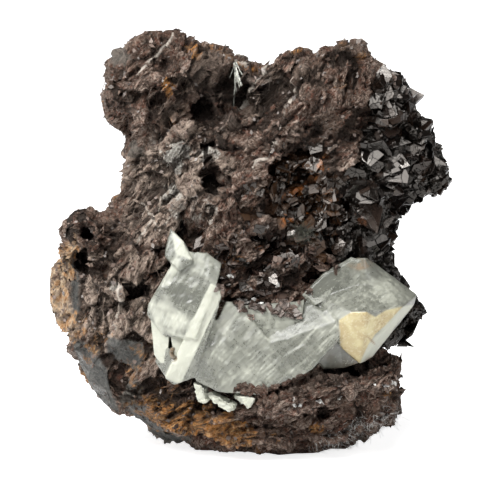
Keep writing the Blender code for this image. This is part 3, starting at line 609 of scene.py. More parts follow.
class Paint:
    """A material whose nodes are written as calls. Its lengths are in millimetres."""

    def __init__(self, name, tint=(1, 1, 1), **constants):
        self.material = bpy.data.materials.new(name)
        self.material.use_nodes = True
        self.tree = self.material.node_tree
        self.tree.nodes.clear()
        self.shader = self.tree.nodes.new("ShaderNodeBsdfPrincipled")
        out = self.tree.nodes.new("ShaderNodeOutputMaterial")
        self.tree.links.new(self.shader.outputs[0], out.inputs["Surface"])
        place = self.tree.nodes.new("ShaderNodeTexCoord")
        scale = self.tree.nodes.new("ShaderNodeVectorMath")
        scale.operation = "SCALE"
        scale.inputs["Scale"].default_value = 1 / MM
        self.tree.links.new(place.outputs["Object"], scale.inputs[0])
        self.place = scale.outputs[0]
        self.shader.inputs["Specular Tint"].default_value = (*tint, 1)
        for key, value in constants.items():
            self.set(key.replace("_", " ").title().replace("Ior", "IOR"), value)

    def put(self, socket, value):
        if isinstance(value, bpy.types.NodeSocket):
            self.tree.links.new(value, socket)
        elif isinstance(value, tuple) and socket.type == "RGBA":
            socket.default_value = (*value, 1)
        else:
            socket.default_value = value

    def set(self, name, value):
        self.put(self.shader.inputs[name], value)

    def node(self, kind, output=0, settings=None, **inputs):
        made = self.tree.nodes.new("ShaderNode" + kind)
        for key, value in (settings or {}).items():
            setattr(made, key, value)
        for key, value in inputs.items():
            self.put(made.inputs[key.replace("_", " ")], value)
        return made.outputs[output]

    def mask(self, name):
        return self.node("Attribute", "Fac", {"attribute_name": name})

    def field(self, name):
        return self.node("Attribute", "Vector", {"attribute_name": name})

    def noise(self, size, detail=3, rough=0.55, place=None, twist=0.0):
        """Smooth chance values round 0.5, with features of that size."""
        return self.node("TexNoise", 0, Vector=place or self.place, Scale=1 / size, Detail=detail,
                         Roughness=rough, Distortion=twist)

    def cells(self, size, output="Distance", place=None):
        return self.node("TexVoronoi", output, Vector=place or self.place, Scale=1 / size)

    def stretched(self, place, scale):
        made = self.tree.nodes.new("ShaderNodeVectorMath")
        made.operation = "MULTIPLY"
        self.put(made.inputs[0], place)
        made.inputs[1].default_value = scale
        return made.outputs[0]

    def math(self, kind, *values):
        """The operation on the first two values, then on the outcome and the next, and so on."""
        total = values[0]
        for value in values[1:]:
            made = self.tree.nodes.new("ShaderNodeMath")
            made.operation = kind
            self.put(made.inputs[0], total)
            self.put(made.inputs[1], value)
            total = made.outputs[0]
        return total

    def plus(self, *values):
        return self.math("ADD", *values)

    def times(self, *values):
        return self.math("MULTIPLY", *values)

    def round_0(self, value, weight):
        """A chance value round 0.5, made one round 0 with that weight."""
        return self.times(self.plus(value, -0.5), weight)

    def ease(self, value, low, high, start=0.0, end=1.0):
        """From start at low to end at high, smoothly."""
        made = self.tree.nodes.new("ShaderNodeMapRange")
        made.interpolation_type = "SMOOTHSTEP"
        for socket, item in zip(made.inputs, (value, low, high, start, end)):
            self.put(socket, item)
        return made.outputs[0]

    def mix(self, share, a, b):
        made = self.tree.nodes.new("ShaderNodeMix")
        made.data_type = "RGBA"
        for socket, item in zip((made.inputs[0], made.inputs[6], made.inputs[7]), (share, a, b)):
            self.put(socket, item)
        return made.outputs[2]

    def layered(self, colour, *layers):
        """The colour under layers: each a value, its low and high, the most that shows and a colour."""
        for value, low, high, most, over in layers:
            colour = self.mix(self.ease(value, low, high, 0, most), colour, over)
        return colour

    def bump(self, height, depth, strength=1.0):
        made = self.tree.nodes.new("ShaderNodeBump")
        made.inputs["Strength"].default_value = strength
        made.inputs["Distance"].default_value = depth * MM
        self.put(made.inputs["Height"], height)
        self.set("Normal", made.outputs[0])


def stone_paint():
    """Fibrous brown siderite, with rust, slate-grey rock, pale crusts and resinous places; painted highlights
    on raised places, and painted shade in low places, the recess, dark hollows and holes.
    """
    paint = Paint("rough_siderite", (1, 0.84, 0.72), ior=1.5, specular_ior_level=0.42)
    mask, ease, times, layered = paint.mask, paint.ease, paint.times, paint.layered
    grain = paint.field("grain")
    streaks = paint.noise(0.8, 6, 0.7, paint.stretched(grain, (0.22, 1.6, 1.2)), 0.15)
    fine = paint.noise(0.24, 5, 0.75, paint.stretched(grain, (0.4, 1.5, 1.2)), 0.1)
    threads = paint.noise(0.34, 3, 0.7, paint.stretched(grain, (0.24, 2.4, 1.8)), 0.1)
    gritty = paint.cells(0.3, "Color", paint.stretched(grain, (0.5, 1.3, 1.2)))
    grit = paint.node("SeparateColor", 0, Color=gritty)
    broad = paint.noise(4.5, 3, 0.55)
    patchy = paint.noise(1.6, 5, 0.65, None, 0.4)
    height = mask("height")
    colour = layered(
        (0.021, 0.0095, 0.0055),
        (streaks, 0.42, 0.60, 1, (0.115, 0.060, 0.042)),
        (broad, 0.46, 0.60, 0.6, (0.165, 0.108, 0.080)),
        (patchy, 0.52, 0.62, 0.7, (0.125, 0.036, 0.019)),
        (fine, 0.50, 0.40, 0.8, (0.013, 0.0062, 0.0035)),
    )
    tan = times(mask("tan"), ease(streaks, 0.38, 0.56), 0.85)
    colour = paint.mix(tan, colour, (0.38, 0.305, 0.245))
    # painted highlight: the raised places, where the fine noise is high, are made a pale beige
    lit = times(ease(height, -0.35, 0.2), ease(fine, 0.48, 0.60), 0.75)
    colour = paint.mix(lit, colour, (0.40, 0.325, 0.27))
    colour = layered(
        colour,
        (grit, 0.74, 0.95, 0.3, (0.36, 0.29, 0.24)),
        (grit, 0.3, 0.1, 0.4, (0.016, 0.0085, 0.005)),
        (threads, 0.56, 0.68, 0.6, (0.34, 0.27, 0.225)),
        (threads, 0.46, 0.35, 0.75, (0.014, 0.0075, 0.005)),
    )

    slate = layered((0.036, 0.036, 0.033), (patchy, 0.35, 0.65, 1, (0.135, 0.128, 0.112)),
                    (fine, 0.55, 0.68, 0.5, (0.26, 0.245, 0.215)))
    face = layered((0.046, 0.050, 0.050), (patchy, 0.4, 0.65, 1, (0.10, 0.102, 0.096)),
                   (fine, 0.52, 0.64, 0.5, (0.21, 0.20, 0.18)))
    pale = layered((0.16, 0.145, 0.125), (fine, 0.40, 0.58, 1, (0.52, 0.50, 0.45)))
    rust = layered((0.045, 0.015, 0.004), (streaks, 0.42, 0.6, 1, (0.36, 0.150, 0.034)),
                   (fine, 0.5, 0.62, 0.6, (0.50, 0.33, 0.15)))
    ochre = layered((0.24, 0.14, 0.07), (streaks, 0.40, 0.58, 1, (0.62, 0.50, 0.35)),
                    (patchy, 0.50, 0.62, 0.55, (0.42, 0.19, 0.055)))
    rust = paint.mix(times(mask("ochre"), 0.85), rust, ochre)
    resin = layered((0.03, 0.008, 0.003), (patchy, 0.4, 0.65, 1, (0.20, 0.062, 0.012)))
    slab = layered((0.055, 0.038, 0.030), (fine, 0.42, 0.6, 1, (0.20, 0.155, 0.125)))
    for share, over in (
        (ease(mask("slate"), 0.3, 0.6), slate),
        (mask("face"), face),
        (ease(paint.plus(mask("pale"), paint.round_0(patchy, 2.4)), 0.3, 0.9), pale),
        (ease(paint.plus(mask("rust"), paint.round_0(patchy, 2.0)), 0.4, 0.85, 0, 0.9), rust),
        (times(ease(mask("resin"), 0.4, 0.8), ease(streaks, 0.4, 0.6)), resin),
        (times(mask("plate"), 0.6), slab),
        # painted shade: the recess is made a darker grey-brown
        (times(mask("recess"), 0.7), (0.060, 0.050, 0.043)),
        # painted shade: the dark patches are made near-black
        (times(mask("dark"), 0.86), (0.006, 0.004, 0.003)),
        # painted shade: the holes are made near-black, besides being sunk 1.4 mm
        (times(mask("hole"), 0.95), (0.004, 0.003, 0.003)),
        # painted shade: the lowest places of the broken surface, as in crevices, are made near-black
        (ease(height, -1.1, -0.5, 0.85, 0.0), (0.007, 0.0045, 0.0035)),
        (times(mask("vein"), ease(fine, 0.34, 0.46), 0.9), (0.50, 0.45, 0.39)),
    ):
        colour = paint.mix(share, colour, over)
    paint.set("Base Color", colour)
    glint = paint.node("SeparateColor", 1, Color=paint.cells(0.4, "Color"))
    paint.set("Roughness", ease(glint, 0.4, 0.95, 0.6, 0.2))
    relief = paint.plus(times(streaks, 0.9), times(fine, 0.9), times(threads, 0.5),
                        times(paint.cells(0.36), -0.3))
    paint.bump(relief, 0.5)
    return paint.material


def blade_paint(name, dark, warm, glow, low_gloss, high_gloss, shine=0.5):
    """Glossy crystal, from dark to warm, with fine growth lines."""
    paint = Paint(name, (1, 0.93, 0.86), ior=1.5, specular_ior_level=shine)
    chance = paint.mask("chance")
    patchy = paint.noise(1.3, 3, 0.6)
    fine = paint.noise(0.22, 3, 0.6)
    glowing = paint.ease(paint.plus(paint.mask("glow"), paint.round_0(patchy, 1.6)), 0.35, 0.9)
    colour = paint.mix(paint.ease(chance, 0.35, 1.0), dark, warm)
    paint.set("Base Color", paint.mix(paint.times(glowing, paint.ease(fine, 0.3, 0.6)), colour, glow))
    rough = paint.plus(paint.times(chance, 0.4), paint.times(patchy, 0.6))
    paint.set("Roughness", paint.ease(rough, 0.3, 0.7, low_gloss, high_gloss))
    paint.bump(paint.plus(paint.times(fine, 0.5), patchy), 0.08, 0.7)
    return paint.material


def calcite_paint():
    """Cloudy calcite: clear where nothing fills it, and white and cream where veils and stains do."""
    paint = Paint("cloudy_calcite", ior=1.55)
    mask, ease, times = paint.mask, paint.ease, paint.times
    way = paint.field("way")
    cloud = paint.noise(2.6, 4, 0.5, None, 0.4)
    fine = paint.noise(0.4, 2, 0.5)
    thin = paint.noise(0.5, 3, 0.55, paint.stretched(way, (0.16, 1.8, 1.0)), 0.1)
    along = paint.noise(0.7, 3, 0.6, paint.stretched(way, (0.2, 1.3, 0.8)), 0.15)
    across = paint.noise(0.7, 3, 0.6, paint.stretched(way, (1.3, 0.2, 0.8)), 0.15)
    swings = ((cloud, 0.5), (along, 0.65), (across, 0.5), (thin, 0.4))
    white = ease(paint.plus(mask("milk"), *[paint.round_0(*swing) for swing in swings]), 0.0, 1.0)
    colour = paint.mix(white, (0.185, 0.19, 0.16), (0.375, 0.38, 0.318))
    colour = paint.layered(colour, (thin, 0.54, 0.74, 0.3, (0.50, 0.51, 0.475)))
    stain = paint.layered((0.33, 0.26, 0.13), (cloud, 0.4, 0.62, 1, (0.435, 0.38, 0.21)),
                          (fine, 0.54, 0.66, 0.4, (0.52, 0.48, 0.35)))
    cream, clear = mask("cream"), mask("clear")
    brown = times(mask("brown"), ease(cloud, 0.35, 0.6))
    colour = paint.mix(times(brown, 0.8), paint.mix(cream, colour, stain), (0.17, 0.10, 0.05))
    paint.set("Base Color", colour)
    veiled = ease(paint.math("MAXIMUM", white, cream, brown), 0.0, 0.9, 0.5, 0.04)
    paint.set("Transmission Weight", paint.math("MAXIMUM", veiled, times(clear, 0.85)))
    paint.set("Roughness", ease(paint.plus(white, times(clear, -0.8), fine), 0.3, 1.5, 0.24, 0.55))
    paint.set("Subsurface Weight", times(white, 0.3))
    paint.set("Subsurface Radius", (1.0, 1.0, 0.9))
    paint.set("Subsurface Scale", 1.0 * MM)
    paint.bump(paint.noise(0.9, 2, 0.45, paint.stretched(way, (0.3, 1.0, 0.8))), 0.05, 0.7)
    return paint.material


def fibre_paint(name, size, edges, dark, light, rough, **constants):
    """Fibres from dark to light, in patches of that size."""
    paint = Paint(name, **constants)
    tone = paint.noise(size, 3, 0.6)
    paint.set("Base Color", paint.mix(paint.ease(tone, *edges), dark, light))
    paint.set("Roughness", paint.ease(tone, 0.3, 0.7, *rough))
    return paint.material


# Pieces


VEINS = (  # thin pale ridges: points (u, v), half width and how far each stands out
    (((-12.8, 69.2), (-14.4, 66.8), (-16.8, 64.4), (-18.6, 62.4)), 0.2, 0.35),
    (((4.9, 50.9), (3.6, 49.3), (2.2, 48), (0.8, 46.7)), 0.26, 0.7),
    (((2.4, 63.4), (0.8, 61.2), (-0.6, 59.4), (-2, 57.6)), 0.26, 0.5),
    (((7.6, 62.4), (6.4, 59.8), (5.6, 57), (4.8, 54)), 0.14, 0.2),
    (((-2.4, 65.4), (-1.6, 64.6), (-0.4, 64.2)), 0.3, 0.3),
    (((-14.6, 42.4), (-16.4, 38), (-18.6, 34.4)), 0.12, 0.15),
    (((-10.6, 42), (-12.6, 39.6), (-14, 37.6)), 0.12, 0.15),
    (((-21.8, 27.6), (-21.9, 23.6), (-22.4, 19.8)), 0.15, 0.2),
    (((-18.4, 41), (-16, 38.4), (-15, 36)), 0.12, 0.15),
)


def line_mask(lines, places):
    """Nearness to the ridge lines, and how far the surface rises there."""
    mask = np.zeros(len(places))
    rise = np.zeros(len(places))
    flat = places[:, :2]
    for line, half, out in lines:
        for start, end in zip(np.array(line[:-1]), np.array(line[1:])):
            way = end - start
            along = np.clip(((flat - start) @ way) / (way @ way), 0, 1)
            away = np.linalg.norm(flat - start - along[:, None] * way, axis=1)
            mask = np.maximum(mask, step(-away, -half * 1.5, -half * 0.5))
            rise = np.maximum(rise, out * step(-away, -half * 2.2, 0))
    front = step(-places[:, 2], -4, 0)
    return mask * front, rise * front


SLATE_FACES = (  # smooth dark faces of the host rock
    ((-29.7, 18.7), (-26.2, 17), (-23.7, 13.2), (-23, 8.7), (-21.7, 6), (-25, 7), (-27.4, 10.6),
     (-29.2, 14.8)),
    ((-23.8, 18.7), (-17.8, 17.8), (-17.5, 16), (-18.8, 12.8), (-21.7, 14.3), (-23.8, 16)),
    ((-20.8, 7), (-16.7, 7), (-14.7, 4.3), (-10.5, 1), (-12.8, 1), (-16.2, 2.6), (-18.8, 4)),
    ((-9.4, 6), (-8, 5.6), (-7.2, 2), (-8.8, 2.2)),
    ((-29.8, 34), (-28.9, 34), (-28.8, 24), (-28.6, 19.6), (-29.8, 22)),
)
OCHRE_EDGES = (
    ((-29.7, 37.2), (-30.7, 33.2), (-34.5, 29.8), (-34.8, 25.3), (-33.8, 21.8), (-30, 17.5), (-29, 19.8),
     (-29.7, 24.8), (-29.6, 31.5), (-28.7, 35.7)),
    ((-7.6, 68), (-4, 67), (-1.4, 65.2), (2.2, 63.6), (2.4, 62.2), (-1.8, 63.8), (-4.4, 65.6), (-7.6, 66.6)),
    ((-7.8, 67.5), (-6.7, 67.5), (-8.3, 64.2), (-9.2, 64.5)),
    ((6.7, 68), (8.7, 68), (8.7, 65.8), (6.7, 65.8)),
)


def outline_mask(outline, places, soft):
    """1 inside the outline and 0 outside it, as seen from the side with the crystals."""
    x, y = places[:, 0], places[:, 1]
    inside = np.zeros(len(places), dtype=bool)
    away = np.full(len(places), np.inf)
    for i, (x0, y0) in enumerate(outline):
        x1, y1 = outline[(i + 1) % len(outline)]
        dx, dy = x1 - x0, y1 - y0
        along = np.clip(((x - x0) * dx + (y - y0) * dy) / (dx * dx + dy * dy), 0, 1)
        away = np.minimum(away, np.hypot(x - x0 - along * dx, y - y0 - along * dy))
        if dy:
            inside ^= ((y0 > y) != (y1 > y)) & (x < x0 + (y - y0) * dx / dy)
    return step(np.where(inside, away, -away), -soft, soft)


def stone_masks(points):
    """How much each place of the rock is of each kind."""
    places = seen(points)
    wobble = 0.7 * waves(points / MM, 2.6, 1) + 0.35 * waves(points / MM, 0.9, 2)
    masks = {name: patch_mask(patches, places, wobble) for name, patches in PATCHES.items()}
    front = step(-places[:, 2], -6, -1)
    bent = places + 0.3 * wobble[:, None]
    for name, outlines, soft in (("face", SLATE_FACES, 0.2), ("hole", HOLES, 0.2), ("recess", RECESS, 0.3),
                                 ("plate", PLATES, 0.5)):
        masks[name] = front * np.max([outline_mask(outline, bent, soft) for outline in outlines], axis=0)
    edges = [front * outline_mask(outline, bent, 0.6) for outline in OCHRE_EDGES]
    masks["rust"] = np.maximum(masks["rust"], 0.68 * np.max(edges, axis=0))
    masks["ochre"] = edges[0]
    behind = step(places[:, 2], -2, 6)
    low = step(-places[:, 1], -34, -16)
    for name, size, seed, share, start, end, where in BEHIND:
        chance = step(waves(points / MM, size, seed) + wobble * 0.3, start, end)
        masks[name] = np.maximum(masks[name], share * behind * chance * (low if where == "low" else 1))
    return masks


def stone(voxel, smooth, nearest, farthest):
    """The rock between two depths: its solid in fine faces, broken into blocks and facets."""
    base = fine_copy("host_rock", voxel, smooth)
    points, normals = points_of(base), normals_of(base)
    kept, faces = chosen_faces(base, (points[:, 1] > nearest * MM) & (points[:, 1] < farthest * MM))
    points, normals = points[kept], normals[kept]
    places = seen(points)
    part, seam = grain_part(points)
    grain = grain_frame(points, part)
    warp = np.stack([waves(points / MM, 3.5, seed) for seed in (41, 42, 43)], axis=1)
    masks = stone_masks(points)
    vein, rise = line_mask(VEINS, places + 0.2 * waves(points / MM, 1.1, 9)[:, None])

    blocks, blocks_gap = facets(grain + warp * 0.6, (11.0, 3.6, 4.8), 0.24, 0.6, 3, (0.1, -0.3, 0))
    coarse, coarse_gap = facets(grain + warp * 0.4, (5.0, 1.2, 2.0), 0.30, 0.24, 4, (0.1, -0.5, 0))
    fine, fine_gap = facets(grain + warp * 0.2, (2.2, 0.48, 0.7), 0.50, 0.15, 5, (0, -0.4, 0))
    broken, broken_gap = facets(points / MM + warp * 0.4, (3.4, 2.8, 3.0), 0.42, 0.32, 44)
    facing = step(-normals[:, 1], 0.0, 0.55)
    coarse -= 0.26 * step(-coarse_gap, -0.12, 0)
    broken -= 0.3 * step(-broken_gap, -0.1, 0)
    fine -= 0.16 * step(-fine_gap, -0.15, 0)
    calm = 1 - 0.65 * np.maximum(masks["plate"], masks["recess"])
    height = blocks + (coarse * facing + broken * (1 - facing)) * calm + fine * (0.5 + 0.5 * facing) * calm
    height += 0.14 * waves(points / MM, 0.5, 7) - 0.45 * step(-blocks_gap, -0.08, 0)
    height -= 0.35 * step(-seam, -0.5, 0) + 0.35
    smooth = np.maximum(0.7 * masks["slate"], 0.9 * masks["face"])
    height = height * (1 - smooth) - 0.3 * smooth + rise
    height -= 0.5 * masks["dark"] + 1.4 * masks["hole"] + 0.3 * masks["recess"]
    foot = step(points[:, 2] / MM, 0.0, 1.0)
    moved = raised(points, normals, height, foot)
    moved[:, 2] = np.where(points[:, 2] < 0.25 * MM, points[:, 2], moved[:, 2])
    mesh = mesh_of("rock", kept_in(trimmed(moved)), faces)
    set_values(mesh, **masks, vein=vein, height=height)
    set_vector(mesh, "grain", grain)
    return mesh


def chosen_faces(mesh, chosen):
    """Which points the faces whose first corner is chosen have, and these faces."""
    corners = corners_of(mesh)
    kept, faces = np.unique(corners[chosen[corners[:, 0]]], return_inverse=True)
    return kept, faces.reshape(-1, 4)


def part_of(mesh, name, chosen):
    """The faces of the mesh whose first corner is chosen, with what their corners carry."""
    kept, faces = chosen_faces(mesh, chosen)
    piece_mesh = mesh_of(name, points_of(mesh)[kept], faces)
    for layer in mesh.attributes:
        if layer.data_type == "FLOAT" and layer.domain == "POINT":
            set_values(piece_mesh, **{layer.name: read(layer.data, "value", kind=np.float32)[kept]})
    set_vector(piece_mesh, "grain", read(mesh.attributes["grain"].data, "vector", 3, np.float32)[kept])
    return piece_mesh


def joined(name, meshes):
    """One mesh with the four-cornered faces of all."""
    starts = np.cumsum([0] + [len(mesh.vertices) for mesh in meshes])
    faces = [corners_of(mesh) + start for mesh, start in zip(meshes, starts)]
    return mesh_of(name, np.concatenate([points_of(mesh) for mesh in meshes]), np.concatenate(faces))


def joined_triangles(name, meshes):
    """One mesh with the triangles of all."""
    corners = np.concatenate([surface_of(mesh)[0] for mesh in meshes])
    return mesh_of(name, corners.reshape(-1, 3), np.arange(len(corners) * 3).reshape(-1, 3))


def in_patch(places, *patch):
    return patch_mask([(*patch, 1)], places)


def on_rock(places, normals=None):
    """1 on the brown rock and less on slate, in pits, behind and under."""
    bare = patch_mask(PATCHES["slate"], places)
    pits = np.max([outline_mask(outline, places, 0.2) for outline in HOLES], axis=0)
    pits = np.maximum(pits, patch_mask(PATCHES["dark"], places))
    behind = step(places[:, 2], -2, 4)
    return (1 - 0.95 * bare) * (1 - 0.6 * pits) * (1 - 0.7 * behind) * (places[:, 1] > 1.0)


def as_rock(mesh):
    """Gives crystals on the rock what its paint reads, so that they look like it."""
    points = points_of(mesh)
    chance = read(mesh.attributes["chance"].data, "value", kind=np.float32)
    set_values(mesh, **stone_masks(points), vein=0, height=1.2 * (chance - 0.7))
    set_vector(mesh, "grain", grain_frame(points, grain_part(points)[0]) + chance[:, None] * (31, 17, 23))
    return mesh


def stone_grains(rock, form, chance, count, lean, long, wide, thick):
    """Small siderite crystals all over the rock, along the grain."""
    points, normals = scattered(rock, count, chance, on_rock)
    axes = leaning(points, normals, chance, *lean)
    length = np.clip(chance.lognormal(math.log(long), 0.4, count), long * 0.4, long * 2.6)
    sizes = np.stack((length, length * chance.uniform(*wide, count), chance.uniform(*thick, count)), axis=1)
    return as_rock(copies("grains", form, points - normals * 0.1 * MM, axes, sizes, chance, 0.3))


def blades_skin():
    """The dark blades' base: facets that mirror the light, split by fine cracks."""
    mesh = fine_copy("siderite_blades", BLADES_VOXEL, 2)
    points, normals = points_of(mesh), normals_of(mesh)
    grain = grain_frame(points, grain_part(points)[0])
    coarse, coarse_gap = facets(grain, (3.4, 2.4, 2.6), 0.55, 0.35, 13)
    fine, fine_gap = facets(grain, (1.1, 0.8, 0.8), 0.22, 0.09, 15)
    height = coarse + fine - 0.6 - 0.3 * step(-coarse_gap, -0.1, 0) - 0.14 * step(-fine_gap, -0.16, -0.04)
    moved = raised(points, normals, height)
    moved[:, 0] += TRIM * np.minimum(edge_room(seen(moved)), 0) * MM
    set_points(mesh, kept_in(moved))
    set_values(mesh, chance=0.45 + 0.6 * waves(points / MM, 1.6, 17))
    return mesh


def growing(chance, surface, count, density, lean, spread, size, alike=0.0, out=0.15, sink=0.0):
    """Where blades stand on a surface: roots, axes and sizes. A share of them face alike.

    They stand out that far, and with sink less where the surface turns away, so that the outline stays.
    """
    points, normals = scattered(surface, count, chance, density)
    axes = leaning(points, normals, chance, lean, spread, 1.2)
    shared = chance.random(count) < alike
    facing = unit(np.array(ALIKE) + chance.normal(0, 0.17, (count, 3)) + 0.15 * normals)
    way = unit(np.cross(facing, unit(chance.normal(0, 1, (count, 3)))))
    turned_alike = np.stack((way, np.cross(facing, way), facing), axis=2)
    axes = np.where(shared[:, None, None], turned_alike, axes)
    long = np.clip(chance.lognormal(0, 0.3, count), 0.5, 1.4)
    sizes = np.stack((size[0] * long, size[1] * long * chance.uniform(0.75, 1.25, count),
                      size[2] * chance.uniform(0.7, 1.3, count)), axis=1)
    turning = (normals[:, 0] ** 2 + normals[:, 2] ** 2) * sink
    turning *= np.where(shared, 0.7 + 0.3 * sizes[:, 0], 0.7)
    return points + normals * (out - turning)[:, None] * MM, axes, sizes


GLOWS = (  # where the crystals are clear and orange: u, v, half length, half width, turn and strength
    (12.5, 47.6, 1.5, 1.3, 0, 1), (7.4, 42.6, 1.8, 1.2, 30, 0.8), (6.2, 38.1, 1.2, 1, 0, 0.8),
    (17.9, 37.9, 1.3, 1.3, 0, 0.9), (10.2, 45, 1.8, 0.8, 40, 0.5), (13.6, 41.6, 1.2, 1.5, 20, 0.5),
    (9.4, 39.6, 1.2, 0.8, 0, 0.4), (2.2, 33.6, 1.5, 1, 0, 0.5),
)


def with_glow(mesh):
    """Adds how far each point lies where the crystals are clear and orange."""
    points = points_of(mesh)
    set_values(mesh, glow=patch_mask(GLOWS, seen(points), 0.3 * waves(points / MM, 1.2, 61)))
    return mesh


def grown(name, slot, paint, chance, cells, *placing, solid=None, reach=1.0, like_rock=False, **settings):
    """The piece with blades where growing() places them, each split into so many cells."""
    mesh = with_glow(shards(name, *growing(chance, *placing, **settings), chance, cells, solid, reach))
    piece(name, as_rock(mesh) if like_rock else mesh, paint, slot)


CREAM_FACE = (
    (14.7, 21.5), (16.8, 22.9), (19.3, 22.9), (20.8, 22.1), (22.5, 23.2), (25.3, 23.8), (22.5, 20.7),
    (20.8, 19.2), (19.5, 17.3), (18.7, 15.5), (18.2, 14.2), (15, 17),
)
SIDE_FACE = (
    (25.3, 23.8), (27.4, 24.2), (24.4, 20.8), (21.4, 16.8), (20.2, 15.2), (18.2, 14.2), (19.5, 17.3),
    (22.5, 20.7),
)
WHITE_BARS = (  # opaque white bars across the left crystals
    ((-6.5, 27.6), (-4.2, 26.6), (-11.6, 10.8), (-14.2, 12)),
    ((-16.8, 21.8), (-9, 18.7), (-9.4, 17.2), (-16.8, 20.4)),
    ((-17.2, 24.6), (-15.8, 25), (-13.4, 19.6), (-15.2, 18.4)),
    ((-13, 36.6), (-11.4, 35.2), (-9.4, 32.6), (-9.6, 31.4), (-12.4, 32.4)),
)
GROWTH_LINES = (  # pale lines inside the middle crystals: points (u, v), half width and rise
    (((2.4, 15), (6.4, 18.6), (9.6, 21.8)), 0.1, 0), (((3, 12.6), (8, 17.2), (12.2, 21.4)), 0.16, 0),
    (((6.6, 12.6), (10.4, 16), (13.4, 19)), 0.09, 0), (((9.6, 24.2), (12, 22.2), (14.4, 20.4)), 0.12, 0),
    (((-1.8, 23.4), (-5.4, 17.2), (-7.6, 13)), 0.12, 0),
    (((-6.4, 16.2), (-3.4, 14.2), (-0.4, 12.8)), 0.09, 0),
    (((3.2, 18.4), (1.8, 18.8), (1.3, 20.2), (2.2, 21.2)), 0.12, 0),
)
VEILS = (  # whiter and clearer places: u, v, half length, half width, turn and by how much
    (-14.2, 22.4, 3.4, 1.8, -35, 0.25), (-10.4, 20.6, 3, 1.6, -30, 0.22), (-13.2, 29.4, 1, 3, -30, 0.35),
    (-8.4, 30.8, 2.4, 1.6, 0, 0.12), (-11.8, 26, 1.8, 1.1, -35, -0.12), (-5, 22, 1.6, 3, -20, 0.15),
    (13, 27.4, 4.4, 3, 30, -0.22), (22.5, 26.5, 2.6, 2.4, 40, 0.12),
)
WINDOWS = (  # where one sees into the crystals, as in PATCHES
    (11.6, 28.4, 4, 2.8, 20, 0.55), (-10.8, 25.6, 3, 1.8, -35, 0.5), (13.2, 14.8, 3.4, 2.8, 20, 0.7),
    (2, 23.4, 2.2, 3.4, 40, 0.3), (3, 10.6, 4.6, 1.6, 20, 0.3), (-6.6, 20.4, 1.4, 4.4, -20, 0.25),
)
BAR_WAY = (0.42, 0.91)  # the way that the white bar runs, in u and v
EDGE_WAY = (0.71, 0.71)  # the way that the other crystals' edges run


RHOMB = (  # the right crystal and a little room round it
    (8.6, 25.4), (12, 30.6), (16.4, 33.2), (20.4, 33.3), (28.8, 27), (26.4, 19.5), (21.6, 15.5), (13, 15.5),
)
CORNER = (11.0, 24.5, -14.5)  # a place (u, v, y) on the plane of that crystal's upper left face
RISE = (0.0855, 0.196)  # how fast that plane goes back to the right and upward


def off_rhomb(places):
    return 1 - outline_mask(RHOMB, places, 0.3)


def brought_forward(points, normals):
    """The right crystal's upper left face moved along the line of sight, in front of the blades."""
    u, v, y = seen(points).T
    plane = CORNER[2] + RISE[0] * (u - CORNER[0]) + RISE[1] * (v - CORNER[1])
    share = step(-normals[:, 1], 0.1, 0.5) * step(u, 8.0, 9.5) * step(-u, -23.0, -18.5) * step(v, 23.0, 24.5)
    ahead = np.maximum(y - plane, 0) * share
    return points + ahead[:, None] * np.array((0, -1, math.tan(SIGHT_TILT))) * MM


def calcite():
    mesh = fine_copy("calcite_rhombs", CALCITE_VOXEL, 1)
    points, normals = points_of(mesh), normals_of(mesh)
    places = seen(points)
    left = step(-places[:, 0], 4.2, 6.2)
    middle = step(-places[:, 0], -10.5, -8.5) * (1 - left)
    way_u, way_v = np.where(places[:, 0] < -5.2, np.array(BAR_WAY)[:, None], np.array(EDGE_WAY)[:, None])
    u, v, depth = places.T
    turned_in = np.stack((u * way_u + v * way_v, u * way_v - v * way_u, depth), axis=1)
    steps, _ = facets(turned_in, (3.4, 1.1, 1.6), 0.12, 0.17, 21)
    small, small_gap = facets(turned_in, (1.3, 0.5, 0.7), 0.16, 0.06, 22)
    height = (steps + small - 0.08 * step(-small_gap, -0.1, 0)) * (0.08 + 0.25 * left + 0.16 * middle)
    height += 0.04 * waves(points / MM, 1.2, 24)
    hole = patch_mask(((-12.8, 16.2, 1.5, 0.5, 100, 1.0),), places, 0.3 * waves(points / MM, 0.7, 27))
    height -= 0.7 * hole
    set_points(mesh, kept_in(brought_forward(raised(points, normals, height), normals)))

    wobble = 0.35 * waves(points / MM, 3.0, 25) + 0.15 * waves(points / MM, 0.9, 26)
    bent = places + 0.25 * wobble[:, None]
    bars = [outline_mask(outline, bent, soft) for outline, soft in zip(WHITE_BARS, (0.2, 0.8, 0.8, 0.3))]
    bars = np.max(bars[:1] + [0.5 * bar for bar in bars[1:3]] + [0.62 * bars[3]], axis=0)
    lines = line_mask(GROWTH_LINES, bent)[0]
    side_face = outline_mask(SIDE_FACE, places, 0.1)
    milk = 0.40 + 0.17 * waves(points / MM, 3.2, 28) + 0.08 * waves(points / MM, 1.2, 29)
    right = step(places[:, 0], 2.5, 4.5)
    beyond = step(places[:, 0], 12.0, 14.0)
    milk += 0.16 * lines - 0.14 * left - 0.12 * right + 0.10 * beyond
    for veil in VEILS:
        milk += veil[-1] * patch_mask([(*veil[:-1], 1)], places, wobble)
    milk = np.maximum(np.maximum(milk, bars * 1.3), side_face)
    clear = np.zeros(len(places))
    for *patch, strength in WINDOWS:
        clear = np.maximum(clear, strength * np.exp(-1.2 * patch_away(places, *patch)) * (1 + wobble))
    cream = outline_mask(CREAM_FACE, places + 0.15 * wobble[:, None], 0.12)
    stain = patch_mask(((18.2, 31.2, 2.0, 1.2, 0, 0.8), (19.6, 14.6, 1.2, 0.7, 50, 0.6)), places, wobble)
    needle = line_mask(((((19.5, 18.8), (20.9, 17.4)), 0.14, 0),), places)[0]
    set_vector(mesh, "way", turned_in)
    clear = np.clip(clear, 0, 1) * (1 - bars) * (1 - cream) * (1 - side_face)
    set_values(mesh, milk=milk, cream=cream, clear=clear, brown=np.maximum(np.maximum(stain, hole), needle))
    return mesh


